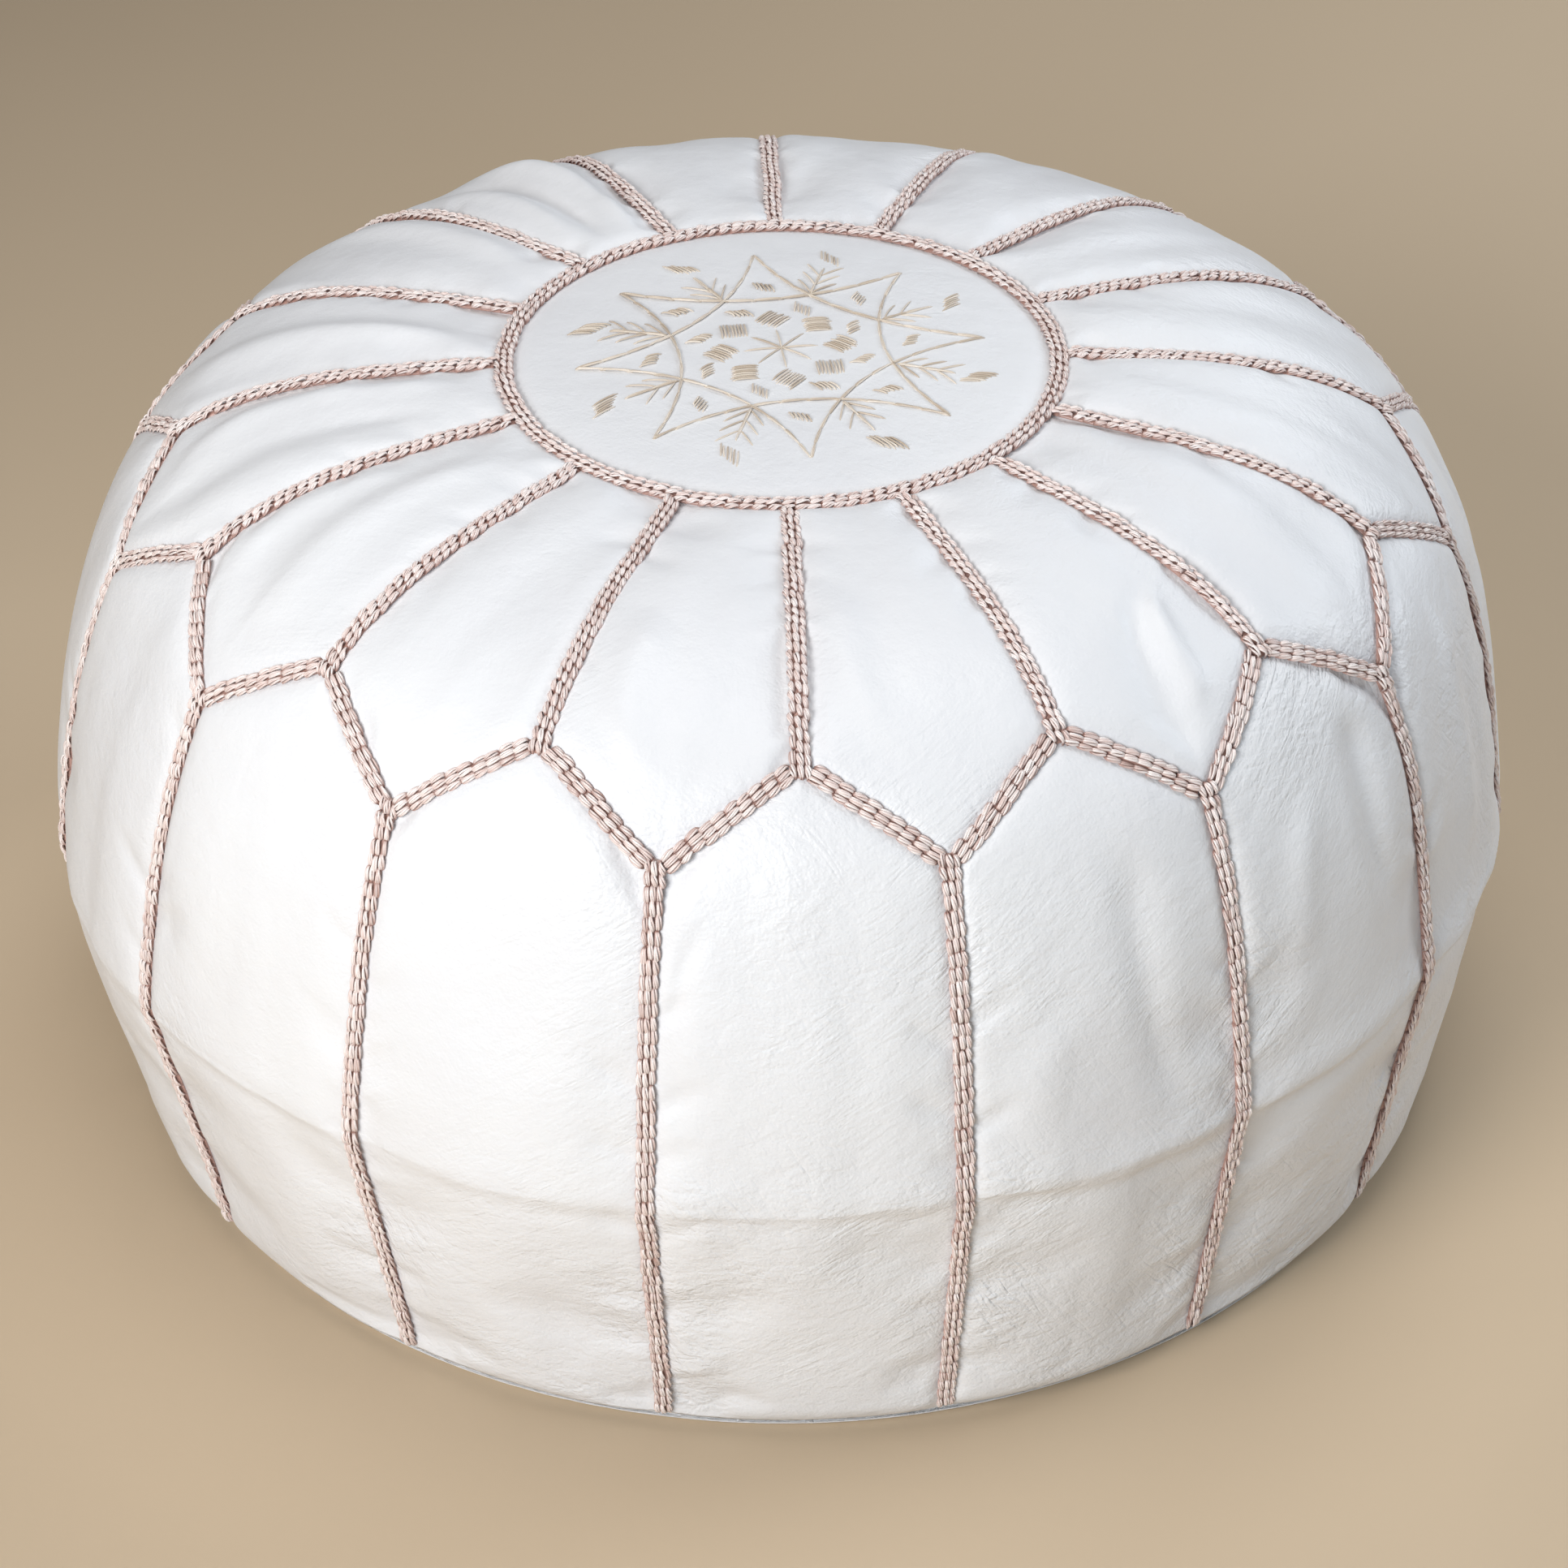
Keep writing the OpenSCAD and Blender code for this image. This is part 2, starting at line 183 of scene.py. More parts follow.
def noise(x, y, z):
    """Smooth random values from -1 to 1, one lattice cell per unit."""
    x, y, z = np.broadcast_arrays(x, y, z)
    cell = [np.floor(v).astype(int) for v in (x, y, z)]
    part = [v - c for v, c in zip((x, y, z), cell)]
    blend = [p * p * p * (p * (p * 6 - 15) + 10) for p in part]
    total = np.zeros(x.shape)
    for corner in np.ndindex(2, 2, 2):
        index = tuple((c + k) % NOISE_SIZE for c, k in zip(cell, corner))
        share = np.ones(x.shape)
        for b, k in zip(blend, corner):
            share = share * (b if k else 1 - b)
        total += share * NOISE[index]
    return 2 * total - 1


def rough(x, y, z, octaves=3):
    """Several octaves of noise."""
    return sum(noise(x * 2**k, y * 2**k, z * 2**k + 7.3 * k) / 2**k for k in range(octaves))


def crease(x, y, z, sharpness=5):
    """Thin lines of height 1 where the noise crosses zero."""
    return (1 - np.abs(noise(x, y, z))) ** sharpness


# ---------------------------------------------------------------- mesh tools
def make_piece(name, points, face_sets, material, attributes=None, node=None):
    """A smooth mesh object from points and arrays of faces, each array of one face size.
    Where it stands for a CAD node, it rides on the pouf in that node's place."""
    mesh = bpy.data.meshes.new(name)
    face_sets = [np.asarray(f) for f in face_sets if len(f)]
    corners = np.concatenate([f.ravel() for f in face_sets]).astype(np.int32)
    sizes = np.concatenate([np.full(len(f), f.shape[1]) for f in face_sets])
    starts = np.concatenate([[0], np.cumsum(sizes)[:-1]]).astype(np.int32)
    mesh.vertices.add(len(points))
    mesh.vertices.foreach_set("co", np.asarray(points, np.float32).ravel())
    mesh.loops.add(len(corners))
    mesh.loops.foreach_set("vertex_index", corners)
    mesh.polygons.add(len(sizes))
    mesh.polygons.foreach_set("loop_start", starts)
    mesh.update(calc_edges=True)
    mesh.validate()
    mesh.shade_smooth()
    for key, values in (attributes or {}).items():
        values = np.asarray(values, np.float32)
        kind, field = ("FLOAT_VECTOR", "vector") if values.ndim == 2 else ("FLOAT", "value")
        mesh.attributes.new(key, kind, "POINT").data.foreach_set(field, values.ravel())
    mesh.materials.append(material)
    piece = bpy.data.objects.new(name, mesh)
    bpy.context.scene.collection.objects.link(piece)
    if node:
        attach(piece, "pouf")
        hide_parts(node)
    return piece


def grid_faces(rows, columns, wrap=False, start=0, wrap_rows=False):
    """Quads of a grid of points stored row by row; wrap joins the last column to the first,
    and wrap_rows the last row."""
    index = start + np.arange(rows * columns).reshape(rows, columns)
    if wrap_rows:
        index = np.vstack([index, index[:1]])
    if wrap:
        index = np.hstack([index, index[:, :1]])
    quads = [index[:-1, :-1], index[1:, :-1], index[1:, 1:], index[:-1, 1:]]
    return np.stack(quads, axis=-1).reshape(-1, 4)


def closed_shell(outer, inner, ratio):
    """A grid patch made solid: outer is the fine face, inner holds every ratio-th point
    of it on the far side. Returns points and face sets."""
    rows, columns = outer.shape[:2]
    in_rows, in_columns = inner.shape[:2]
    points = np.concatenate([outer.reshape(-1, 3), inner.reshape(-1, 3)])
    fine = np.arange(rows * columns).reshape(rows, columns)
    coarse = rows * columns + np.arange(in_rows * in_columns).reshape(in_rows, in_columns)
    rim = []
    edges = [
        (fine[0], coarse[0], 1),
        (fine[-1], coarse[-1], -1),
        (fine[:, 0], coarse[:, 0], -1),
        (fine[:, -1], coarse[:, -1], 1),
    ]
    for fine_line, coarse_line, way in edges:
        for k in range(len(coarse_line) - 1):
            face = list(fine_line[k * ratio:(k + 1) * ratio + 1])
            face += [coarse_line[k + 1], coarse_line[k]]
            rim.append(face[::way])
    inner_faces = grid_faces(in_rows, in_columns, start=rows * columns)[:, ::-1]
    return points, [grid_faces(rows, columns), inner_faces, np.array(rim)]


def tubes(centres, up, radii, sides=5):
    """Closed tubes: centres are (tubes, nodes, 3), and so is up, or one vector for all;
    radii are (tubes, nodes). Returns points, face sets and the points in each tube."""
    count, nodes = centres.shape[:2]
    along = np.gradient(centres, axis=1)
    along /= np.linalg.norm(along, axis=-1, keepdims=True)
    side = np.cross(along, up)
    side /= np.linalg.norm(side, axis=-1, keepdims=True)
    rise = np.cross(side, along)
    angle = 2 * np.pi * np.arange(sides) / sides
    ring = (
        np.cos(angle)[:, None] * side[:, :, None, :]
        + np.sin(angle)[:, None] * rise[:, :, None, :]
    )
    points = centres[:, :, None, :] + radii[:, :, None, None] * ring
    size = nodes * sides
    walls = grid_faces(nodes, sides, wrap=True)
    first = np.arange(sides)[None, :]
    last = (size - sides + np.arange(sides))[None, ::-1]
    offsets = size * np.arange(count)[:, None, None]
    wall_set = (walls[None] + offsets).reshape(-1, 4)
    cap_set = (np.concatenate([first, last])[None] + offsets).reshape(-1, sides)
    return points.reshape(-1, 3), [wall_set, cap_set], size


def join_parts(parts):
    """Several (points, face sets) as one."""
    points, by_size, start = [], {}, 0
    for part_points, face_sets in parts:
        points.append(part_points)
        for faces in face_sets:
            faces = np.asarray(faces)
            if len(faces):
                by_size.setdefault(faces.shape[1], []).append(faces + start)
        start += len(part_points)
    return np.concatenate(points), [np.concatenate(sets) for sets in by_size.values()]


# ---------------------------------------------------------------- materials
def new_material(name, roughness, specular=0.5, sheen=0.0, metallic=0.0):
    """A node material, its node tree and its shader."""
    material = bpy.data.materials.new(name)
    material.use_nodes = True
    tree = material.node_tree
    shader = tree.nodes["Principled BSDF"]
    constants = {
        "Roughness": roughness, "Specular IOR Level": specular, "Metallic": metallic,
        "Sheen Weight": sheen, "Sheen Roughness": 0.4,
    }
    for key, value in constants.items():
        shader.inputs[key].default_value = value
    return material, tree, shader


def add_node(tree, kind, inputs=None, **settings):
    """A shader node; each input listed gets a constant, or a link from a socket."""
    node = tree.nodes.new(f"ShaderNode{kind}")
    for key, value in settings.items():
        setattr(node, key, value)
    for key, value in (inputs or {}).items():
        if isinstance(value, bpy.types.NodeSocket):
            tree.links.new(value, node.inputs[key])
        else:
            node.inputs[key].default_value = value
    return node


def attribute(tree, name, output="Fac"):
    return add_node(tree, "Attribute", attribute_name=name).outputs[output]


def calculate(tree, operation, *values):
    """The result of a maths node on sockets or constants."""
    return add_node(tree, "Math", dict(enumerate(values)), operation=operation).outputs[0]


def remap(tree, value, from_low, from_high, to_low=0.0, to_high=1.0):
    inputs = {0: value, 1: from_low, 2: from_high, 3: to_low, 4: to_high}
    return add_node(tree, "MapRange", inputs).outputs[0]


def mix_colours(tree, factor, a, b):
    """A colour between a and b, each a constant or a socket, by a factor socket."""
    a, b = (c if isinstance(c, bpy.types.NodeSocket) else (*c, 1) for c in (a, b))
    return add_node(tree, "Mix", {0: factor, 6: a, 7: b}, data_type="RGBA").outputs[2]


PATTERNS = {
    "noise": ("TexNoise", "Fac"), "cells": ("TexVoronoi", "Distance"), "waves": ("TexWave", "Fac"),
}


def pattern(tree, kind, scale, stretch=(1, 1, 1), settings=None, **inputs):
    """The value of a texture in object space."""
    place = add_node(tree, "TexCoord").outputs["Object"]
    mapping = add_node(tree, "Mapping", {"Vector": place, "Scale": stretch})
    inputs = {"Vector": mapping.outputs["Vector"], "Scale": scale, **inputs}
    texture, output = PATTERNS[kind]
    return add_node(tree, texture, inputs, **(settings or {})).outputs[output]


def patchy(tree, dark, light, scale, low=0.35, high=0.65, **inputs):
    """A colour that drifts between two in soft patches."""
    tone = remap(tree, pattern(tree, "noise", scale, **inputs), low, high)
    return mix_colours(tree, tone, dark, light)


def finish_shader(tree, shader, colour, bumps, gloss=None):
    """Gives the shader its colour, its bumps in a chain, each (height socket, strength,
    distance), and a roughness that varies."""
    tree.links.new(colour, shader.inputs["Base Color"])
    if gloss:
        tree.links.new(gloss, shader.inputs["Roughness"])
    below = {}
    for height, strength, distance in bumps:
        inputs = {"Height": height, "Strength": strength, "Distance": distance, **below}
        below = {"Normal": add_node(tree, "Bump", inputs).outputs["Normal"]}
    tree.links.new(below["Normal"], shader.inputs["Normal"])


def panel_noise(tree, place, size, turn, detail=1.5, roughness=0.5, warp=0.4):
    """Ripples in panel coordinates, turned by an angle, of a size in metres along and
    across them."""
    mapping = add_node(tree, "Mapping", {
        "Vector": place, "Scale": (*size, 1), "Rotation": (0, 0, turn),
    }, vector_type="TEXTURE")
    return add_node(tree, "TexNoise", {
        "Vector": mapping.outputs["Vector"], "Scale": 1.0,
        "Detail": detail, "Roughness": roughness, "Distortion": warp,
    }).outputs["Fac"]


def folded_lines(tree, place, size, turn, detail=1.5):
    """Height of creases along a slant: they are thin and low, and the leather between them
    rounds up to 1."""
    ripples = panel_noise(tree, place, size, turn, detail, roughness=0.55, warp=0.6)
    fold = calculate(tree, "ABSOLUTE", calculate(tree, "SUBTRACT", ripples, 0.5))
    return remap(tree, fold, 0.0, 0.16)


def creased_web(tree, place, size, width):
    """Height of a net of fine creases in panel coordinates: cells of a size in metres,
    across and down, with bent edges that dip over a share of the cell."""
    mapping = add_node(tree, "Mapping", {"Vector": place, "Scale": (1 / size[0], 1 / size[1], 1)})
    place = mapping.outputs["Vector"]
    bend = add_node(tree, "TexNoise", {
        "Vector": place, "Scale": 1.1, "Detail": 3.0, "Roughness": 0.6,
    })
    bent = add_node(tree, "VectorMath", {
        0: bend.outputs["Color"], 1: (1.3, 1.3, 0), 2: place,
    }, operation="MULTIPLY_ADD")
    cells = add_node(tree, "TexVoronoi", {
        "Vector": bent.outputs["Vector"], "Scale": 1.0,
    }, feature="DISTANCE_TO_EDGE")
    return remap(tree, cells.outputs["Distance"], 0.0, width)


def leather_material(name, light, dark):
    """Smooth nappa: soft patches of tone, pebbled grain about a millimetre across, and
    slanting creases and nets of fine ones where the leather is crumpled."""
    material, tree, shader = new_material(name, 0.4, specular=0.45, sheen=0.04)
    place = attribute(tree, "panel_place", "Vector")
    crumple = attribute(tree, "crumple")
    slack = pattern(tree, "noise", 70, Detail=4, Roughness=0.6)
    region = pattern(tree, "noise", 18, Detail=1)
    here = calculate(tree, "MULTIPLY", remap(tree, region, 0.45, 0.6), crumple)
    elsewhere = calculate(tree, "MULTIPLY", remap(tree, region, 0.52, 0.4), crumple)
    pebbles = pattern(tree, "cells", 850, settings={"feature": "SMOOTH_F1"}, Smoothness=0.5)
    pores = pattern(tree, "noise", 2000, Detail=2, Roughness=0.6)
    layers = [
        # height, where it shows, depth
        (panel_noise(tree, place, (12 * MM, 4 * MM), -0.4), crumple, 0.6 * MM),
        (folded_lines(tree, place, (26 * MM, 4 * MM), -0.6), here, 0.33 * MM),
        (folded_lines(tree, place, (22 * MM, 5 * MM), 1.0), elsewhere, 0.3 * MM),
        (creased_web(tree, place, (13 * MM, 8 * MM), 0.2), crumple, 0.28 * MM),
        (creased_web(tree, place, (3.6 * MM, 2.8 * MM), 0.3), crumple, 0.15 * MM),
        (folded_lines(tree, place, (9 * MM, 1.9 * MM), -0.7, detail=1.0), here, 0.14 * MM),
    ]
    grain = calculate(tree, "MULTIPLY", pebbles, remap(tree, crumple, 0.0, 0.5, 0.45, 1.0))
    bumps = [(slack, 0.5, 1.2 * MM)]
    bumps += [(calculate(tree, "MULTIPLY", height, where), 1.0, depth)
              for height, where, depth in layers]
    bumps += [(grain, 0.9, 0.14 * MM), (pores, 0.5, 0.03 * MM)]
    colour = patchy(tree, dark, light, 9, high=0.7, Detail=4, Roughness=0.55)
    finish_shader(tree, shader, colour, bumps, gloss=remap(tree, slack, 0.3, 0.7, 0.36, 0.5))
    return material


def leather_values(across, down, panel, crumple):
    """The attributes that the leather material reads, at each point."""
    across, down, panel, crumple = np.broadcast_arrays(across, down, panel, crumple)
    place = np.stack([across, down, panel * 1.37], axis=-1)
    return {"panel_place": place.reshape(-1, 3), "crumple": crumple.ravel()}


def silk_material(name, painted_shade, body, bright):
    """Silk floss: shiny strands, painted darker where they dive low, as shade in the crevices, each
    strand a little different.
    """
    material, tree, shader = new_material(name, 0.29, specular=0.7, sheen=0.25)
    shader.inputs["Sheen Tint"].default_value = (1.0, 0.93, 0.9, 1)
    floss = pattern(tree, "noise", 1500, Detail=2, Roughness=0.5)
    tone = mix_colours(tree, attribute(tree, "strand"), body, bright)
    # Painted shade: the low share of each strand's height takes the dark colour, standing in for
    # shade in the crevices between and under the cells.
    depth = remap(tree, attribute(tree, "height"), 0.3, 0.62)
    finish_shader(tree, shader, mix_colours(tree, depth, painted_shade, tone), [(floss, 0.35, 0.15 * MM)])
    return material


def woven_material(name, light, dark, threads, roughness=0.8):
    """Plain weave: threads across each other, threads per metre."""
    material, tree, shader = new_material(name, roughness, specular=0.25, sheen=0.3)
    warp, weft, rise = (
        pattern(tree, "waves", threads, settings={"bands_direction": axis},
                Distortion=distortion, Detail=detail)
        for axis, distortion, detail in (("X", 1.5, 2), ("Y", 1.5, 2), ("Z", 1.0, 1))
    )
    weave = calculate(tree, "ADD", calculate(tree, "ADD", warp, weft), rise)
    colour = mix_colours(tree, remap(tree, weave, 0.6, 2.4), dark, light)
    finish_shader(tree, shader, colour, [(weave, 0.5, 0.2 * MM)])
    return material


def thread_material(name, light, dark, roughness=0.5):
    """Spun thread: fine twisted fibres."""
    material, tree, shader = new_material(name, roughness, sheen=0.3)
    fibres = pattern(tree, "noise", 2600, Detail=3, Roughness=0.6)
    finish_shader(tree, shader, patchy(tree, dark, light, 60, Detail=2), [(fibres, 0.5, 0.1 * MM)])
    return material


def metal_material(name, light, dark):
    """Nickel plate with fine polishing marks and a few dull patches."""
    material, tree, shader = new_material(name, 0.25, metallic=1.0)
    marks = pattern(tree, "noise", 900, (1, 12, 1), Detail=3)
    finish_shader(tree, shader, patchy(tree, dark, light, 120, Detail=3),
                  [(marks, 0.15, 0.05 * MM)], gloss=remap(tree, marks, 0.3, 0.7, 0.18, 0.38))
    return material


def plastic_material(name, light, dark):
    """Moulded filament with a faint haze."""
    material, tree, shader = new_material(name, 0.38)
    haze = pattern(tree, "noise", 300, Detail=2)
    colour = mix_colours(tree, remap(tree, haze, 0.3, 0.7), dark, light)
    finish_shader(tree, shader, colour, [(haze, 0.1, 0.1 * MM)])
    return material


LEATHER = leather_material("white leather", (0.875, 0.873, 0.89), (0.825, 0.82, 0.84))
BASE_LEATHER = leather_material("base leather", (0.84, 0.83, 0.81), (0.77, 0.755, 0.73))
# The first colour is painted shade, for the crevices between the braid's cells and for its bed.
SILK = silk_material("rose silk", (0.46, 0.27, 0.225), (0.82, 0.65, 0.6), (0.97, 0.89, 0.86))
GOLD = silk_material(
    "pale gold thread", (0.36, 0.27, 0.195), (0.56, 0.45, 0.345), (0.84, 0.74, 0.63)
)
SEWING = thread_material("sewing thread", (0.82, 0.81, 0.79), (0.7, 0.69, 0.66))
TAPE = woven_material("zipper tape weave", (0.82, 0.81, 0.79), (0.62, 0.61, 0.58), 900)
COIL = plastic_material("zipper coil", (0.84, 0.83, 0.81), (0.78, 0.77, 0.74))
NICKEL = metal_material("nickel", (0.74, 0.73, 0.7), (0.6, 0.59, 0.56))
COTTON = woven_material("cotton calico", (0.8, 0.76, 0.66), (0.62, 0.57, 0.47), 700)
FIBRE = thread_material("fibre fill", (0.9, 0.9, 0.89), (0.8, 0.8, 0.79), 0.9)


# ---------------------------------------------------------------- the leather skin
COLUMNS = 16
TOP_ROWS = 21
SIDE_ROWS = 37
FINE = 6
CLOTH_STEPS = 26
BULGE_LIMIT = 9 * MM
ZIGZAG_SLOPE = 0.78
# Half width and length of a panel, the measure of its folds
PETAL_SIZE = (35 * MM, 142 * MM)
SIDE_SIZE = (54 * MM, 258 * MM)
# Added to a petal's number, so that its noise isn't a side panel's
PETAL_SHIFT = 20.5


def skin_grid(fine):
    """Azimuth of each column and arc length of each row and column, ring to hem."""
    azimuth = FRONT + STEP * np.arange(PANELS * COLUMNS * fine) / (COLUMNS * fine)
    seam = zigzag_s(azimuth)
    top = np.linspace(0, 1, TOP_ROWS * fine + 1)[:, None]
    side = np.linspace(0, 1, SIDE_ROWS * fine + 1)[1:, None]
    s = np.concatenate([S_RING + (seam - S_RING) * top, seam + (S_HEM - seam) * side])
    return azimuth, s


def inflate(azimuth, s, held):
    """Cloth simulation of the skin under the push of the stuffing, held at its seams.
    Returns how far each point moves, as (outwards, round, up)."""
    shape = s.shape
    rest = surface(azimuth, s).reshape(-1, 3)
    stuffing_lumps = noise(rest[:, 0] / 0.05, rest[:, 1] / 0.05, rest[:, 2] / 0.05)
    lift = (0.0015 * stuffing_lumps).reshape(shape) * ~held
    start = surface(azimuth, s, lift).reshape(-1, 3)
    cloth_piece = make_piece("skin simulation", start, [grid_faces(*shape, wrap=True)], LEATHER)
    group = cloth_piece.vertex_groups.new(name="held")
    group.add(np.flatnonzero(held.ravel()).tolist(), 1.0, "REPLACE")
    cloth = cloth_piece.modifiers.new("Cloth", "CLOTH")
    values = {
        "quality": 6, "mass": 0.3, "tension_stiffness": 15, "compression_stiffness": 15,
        "shear_stiffness": 8, "bending_stiffness": 12.0, "air_damping": 4,
        "vertex_group_mass": "held", "shrink_min": -0.009,
        "use_pressure": True, "uniform_pressure_force": 4,
    }
    for key, value in values.items():
        setattr(cloth.settings, key, value)
    cloth.settings.effector_weights.gravity = 0
    cloth.collision_settings.use_collision = False
    cloth.collision_settings.use_self_collision = False
    cloth.point_cache.frame_start = 1
    cloth.point_cache.frame_end = 30
    for step in range(1, CLOTH_STEPS + 1):
        bpy.context.scene.frame_set(step)
    evaluated = cloth_piece.evaluated_get(bpy.context.evaluated_depsgraph_get())
    moved = np.zeros(len(rest) * 3, np.float32)
    evaluated.data.vertices.foreach_get("co", moved)
    bpy.data.objects.remove(cloth_piece)
    bpy.context.scene.frame_set(1)
    push = moved.reshape(-1, 3) - rest
    size = np.linalg.norm(push, axis=1, keepdims=True)
    push *= np.minimum(1, BULGE_LIMIT / np.maximum(size, 1e-9))
    push = push.reshape(*shape, 3)
    outwards = push[..., 0] * np.cos(azimuth) + push[..., 1] * np.sin(azimuth)
    around = -push[..., 0] * np.sin(azimuth) + push[..., 1] * np.cos(azimuth)
    return np.stack([outwards, around, push[..., 2]], axis=-1)


def refine(values, fine, axis, wrap):
    """Catmull-Rom interpolation along an axis, fine points for each interval."""
    values = np.moveaxis(values, axis, 0)
    count = len(values)
    if wrap:
        padded = np.concatenate([values[-1:], values, values[:2]])
        last = count
    else:
        before, after = 2 * values[:1] - values[1:2], 2 * values[-1:] - values[-2:-1]
        padded = np.concatenate([before, values, after])
        last = count - 1
    before, left, right, after = (padded[k:k + last] for k in range(4))
    out = []
    for k in range(fine):
        t = k / fine
        out.append(
            left
            + 0.5 * t * (right - before)
            + t**2 * (before - 2.5 * left + 2 * right - 0.5 * after)
            + t**3 * (1.5 * (left - right) + 0.5 * (after - before))
        )
    result = np.stack(out, axis=1).reshape(last * fine, *values.shape[1:])
    if not wrap:
        result = np.concatenate([result, values[-1:]])
    return np.moveaxis(result, 0, axis)


def skin_distances(azimuth, s):
    """Where each point of the skin lies in its panel: panel number, metres across from the
    panel's middle, metres to the nearest seam, and whether it is on a petal. Panels turn
    half a step at the zigzag."""
    r = outline_at(s)[0]
    turn = (azimuth - FRONT) / STEP + np.zeros_like(s)
    row = np.arange(len(s))[:, None]
    top_rows = (len(s) - 1) * TOP_ROWS // (TOP_ROWS + SIDE_ROWS)
    is_top = row < top_rows + 0.5
    panel = np.where(is_top, np.floor(turn), np.floor(turn + 0.5))
    middle = np.where(is_top, panel + 0.5, panel)
    panel %= PANELS
    across = (turn - middle) * STEP * r
    to_seam = (0.5 - np.abs(turn - middle)) * STEP * r
    to_zigzag = np.abs(s - zigzag_s(azimuth)) * ZIGZAG_SLOPE
    nearest = np.minimum.reduce([to_seam, to_zigzag, s - S_RING])
    return panel + PETAL_SHIFT * is_top, across, nearest, is_top


def fade(distance, reach):
    """1 at no distance, falling softly to 0 past the reach."""
    return np.exp(-(distance / reach) ** 2)


def smooth_ramp(t):
    """0 up to t = 0, 1 from t = 1, with an easy start and end."""
    t = np.clip(t, 0, 1)
    return t * t * (3 - 2 * t)


def belly_fold(s, azimuth, across, panel, nearest):
    """The horizontal fold that runs round the belly. The outline turns there; the leather
    rounds that corner off, and a low ridge leans over it, strongest at the front right."""
    wander = 4 * MM * noise(across / 0.05, panel, 3.1) + 2 * MM * fade(across, 0.035)
    d = s - S_BELLY - wander
    corner = math.radians(BELLY_ABOVE[2] - BELLY_BELOW[2])
    rounding = 9 * MM + 5 * MM * noise(across / 0.06, panel * 1.9, 4.4)
    lift = -corner / 2 * (np.hypot(d, rounding) - np.abs(d))
    front_right = fade(np.angle(np.exp(1j * (azimuth - math.radians(-45)))), 0.75)
    strength = 0.45 + 1.1 * front_right + 0.5 * noise(across / 0.06, panel * 1.3, 9.7)
    ridge = np.where(d < 0, fade(d, 11 * MM), fade(d, 4.5 * MM))
    hollow = fade(d - 8 * MM, 6 * MM)
    rise = np.clip(strength, 0, 1.6) * (1 - 0.5 * fade(nearest, 0.01))
    return lift + MM * rise * (1.5 * ridge - 0.7 * hollow)


def crumpling(s, azimuth, across, panel, nearest, is_top):
    """How crumpled the leather is, about 0 to 1: beside seams, under the belly, and in
    patches, more on the right than on the left."""
    down = s - S_RING
    patches = np.clip(0.45 + 0.95 * noise(across / 0.05, down / 0.05, panel + 5.2), 0, 1)
    small_patches = np.clip(0.5 + 0.9 * noise(across / 0.02, down / 0.02, panel + 2.2), 0, 1)
    beside_seam = fade(nearest, 0.02)
    near_belly = fade(s - S_BELLY, 0.03)
    low = np.clip((s - S_BELLY) / 0.03, 0, 1)
    side = np.maximum(np.maximum(0.7 * beside_seam, 0.9 * near_belly), np.maximum(low, 0.45))
    top = np.maximum(0.6 * beside_seam * np.clip(down / 0.1, 0, 1), 0.2)
    right = 0.75 + 0.45 * np.cos(azimuth - math.radians(-20))
    share = (0.4 + 0.6 * patches) * (0.6 + 0.4 * small_patches)
    return right * np.where(is_top, top, side) * share


def wrinkles(s, across, panel, nearest, is_top, crumple):
    """Wrinkles wide enough for the mesh: puckers beside the seams and long soft creases."""
    down = s - S_RING
    drift = 6 * MM * noise(across / 0.03, down / 0.03, panel + 0.3)
    beside_seam = fade(nearest, 0.03)
    low = np.clip((s - S_BELLY + 0.02) / 0.04, 0, 1)
    puckers = rough(across / 0.035, (down + drift + 0.25 * across) / 0.0085, panel + 1.7, 2)
    fans = noise((across + drift) / 0.03, (down + 0.9 * across) / 0.011, panel + 2.9)
    long_lines = crease((across + 1.5 * drift) / 0.03, (down - 0.5 * across) / 0.06, panel + 4.4, 7)
    return MM * (
        0.6 * puckers * crumple * (0.3 + 0.7 * beside_seam) * low * ~is_top
        + 0.55 * fans * crumple * (0.35 + 0.65 * beside_seam)
        - 0.4 * long_lines * (0.2 + 0.6 * crumple) * (1 - 0.6 * is_top)
    )


def soft_waves(s, across, panel, is_top):
    """Broad waves of the stuffing under the leather."""
    down = s - S_RING
    radial = noise((across + 0.15 * down) / 0.018, down / 0.16, panel + 3.3)
    upright = noise(across / 0.022, down / 0.12, panel + 6.1)
    return np.where(is_top, 0.9 * MM * radial, 0.8 * MM * upright)


# Folds of the leather that stand out, each a soft ridge (or hollow, if its height is
# negative) from one point of a panel to another: panel, start, end, width and height in
# mm. Places are shares of the panel: -1 to 1 across from its left edge as seen from
# outside, 0 to 1 down.
PETAL_FOLDS = [
    (10, (-0.5, 0.04), (0.0, 0.8), 7, 5.0),
    (10, (0.1, 0.04), (0.5, 0.8), 6, -3.5),
    (10, (0.55, 0.1), (0.75, 0.8), 6, 2.0),
    (11, (-0.4, 0.1), (-0.2, 0.95), 9, 3.0),
    (12, (0.3, 0.05), (0.45, 0.95), 9, 3.0),
    (13, (-0.3, 0.1), (-0.35, 0.9), 8, 3.2),
    (13, (0.35, 0.15), (0.3, 0.95), 8, -2.0),
    (14, (0.1, 0.05), (0.35, 0.9), 9, 2.4),
    (14, (-0.5, 0.3), (-0.55, 0.95), 7, 2.2),
    (2, (0.2, 0.55), (0.0, 0.98), 7, -3.0),
    (2, (0.5, 0.6), (0.3, 0.92), 5, 2.2),
    (16, (-0.35, 0.45), (-0.25, 0.9), 8, 1.8),
    (1, (-0.45, 0.35), (-0.3, 0.85), 8, 1.5),
]
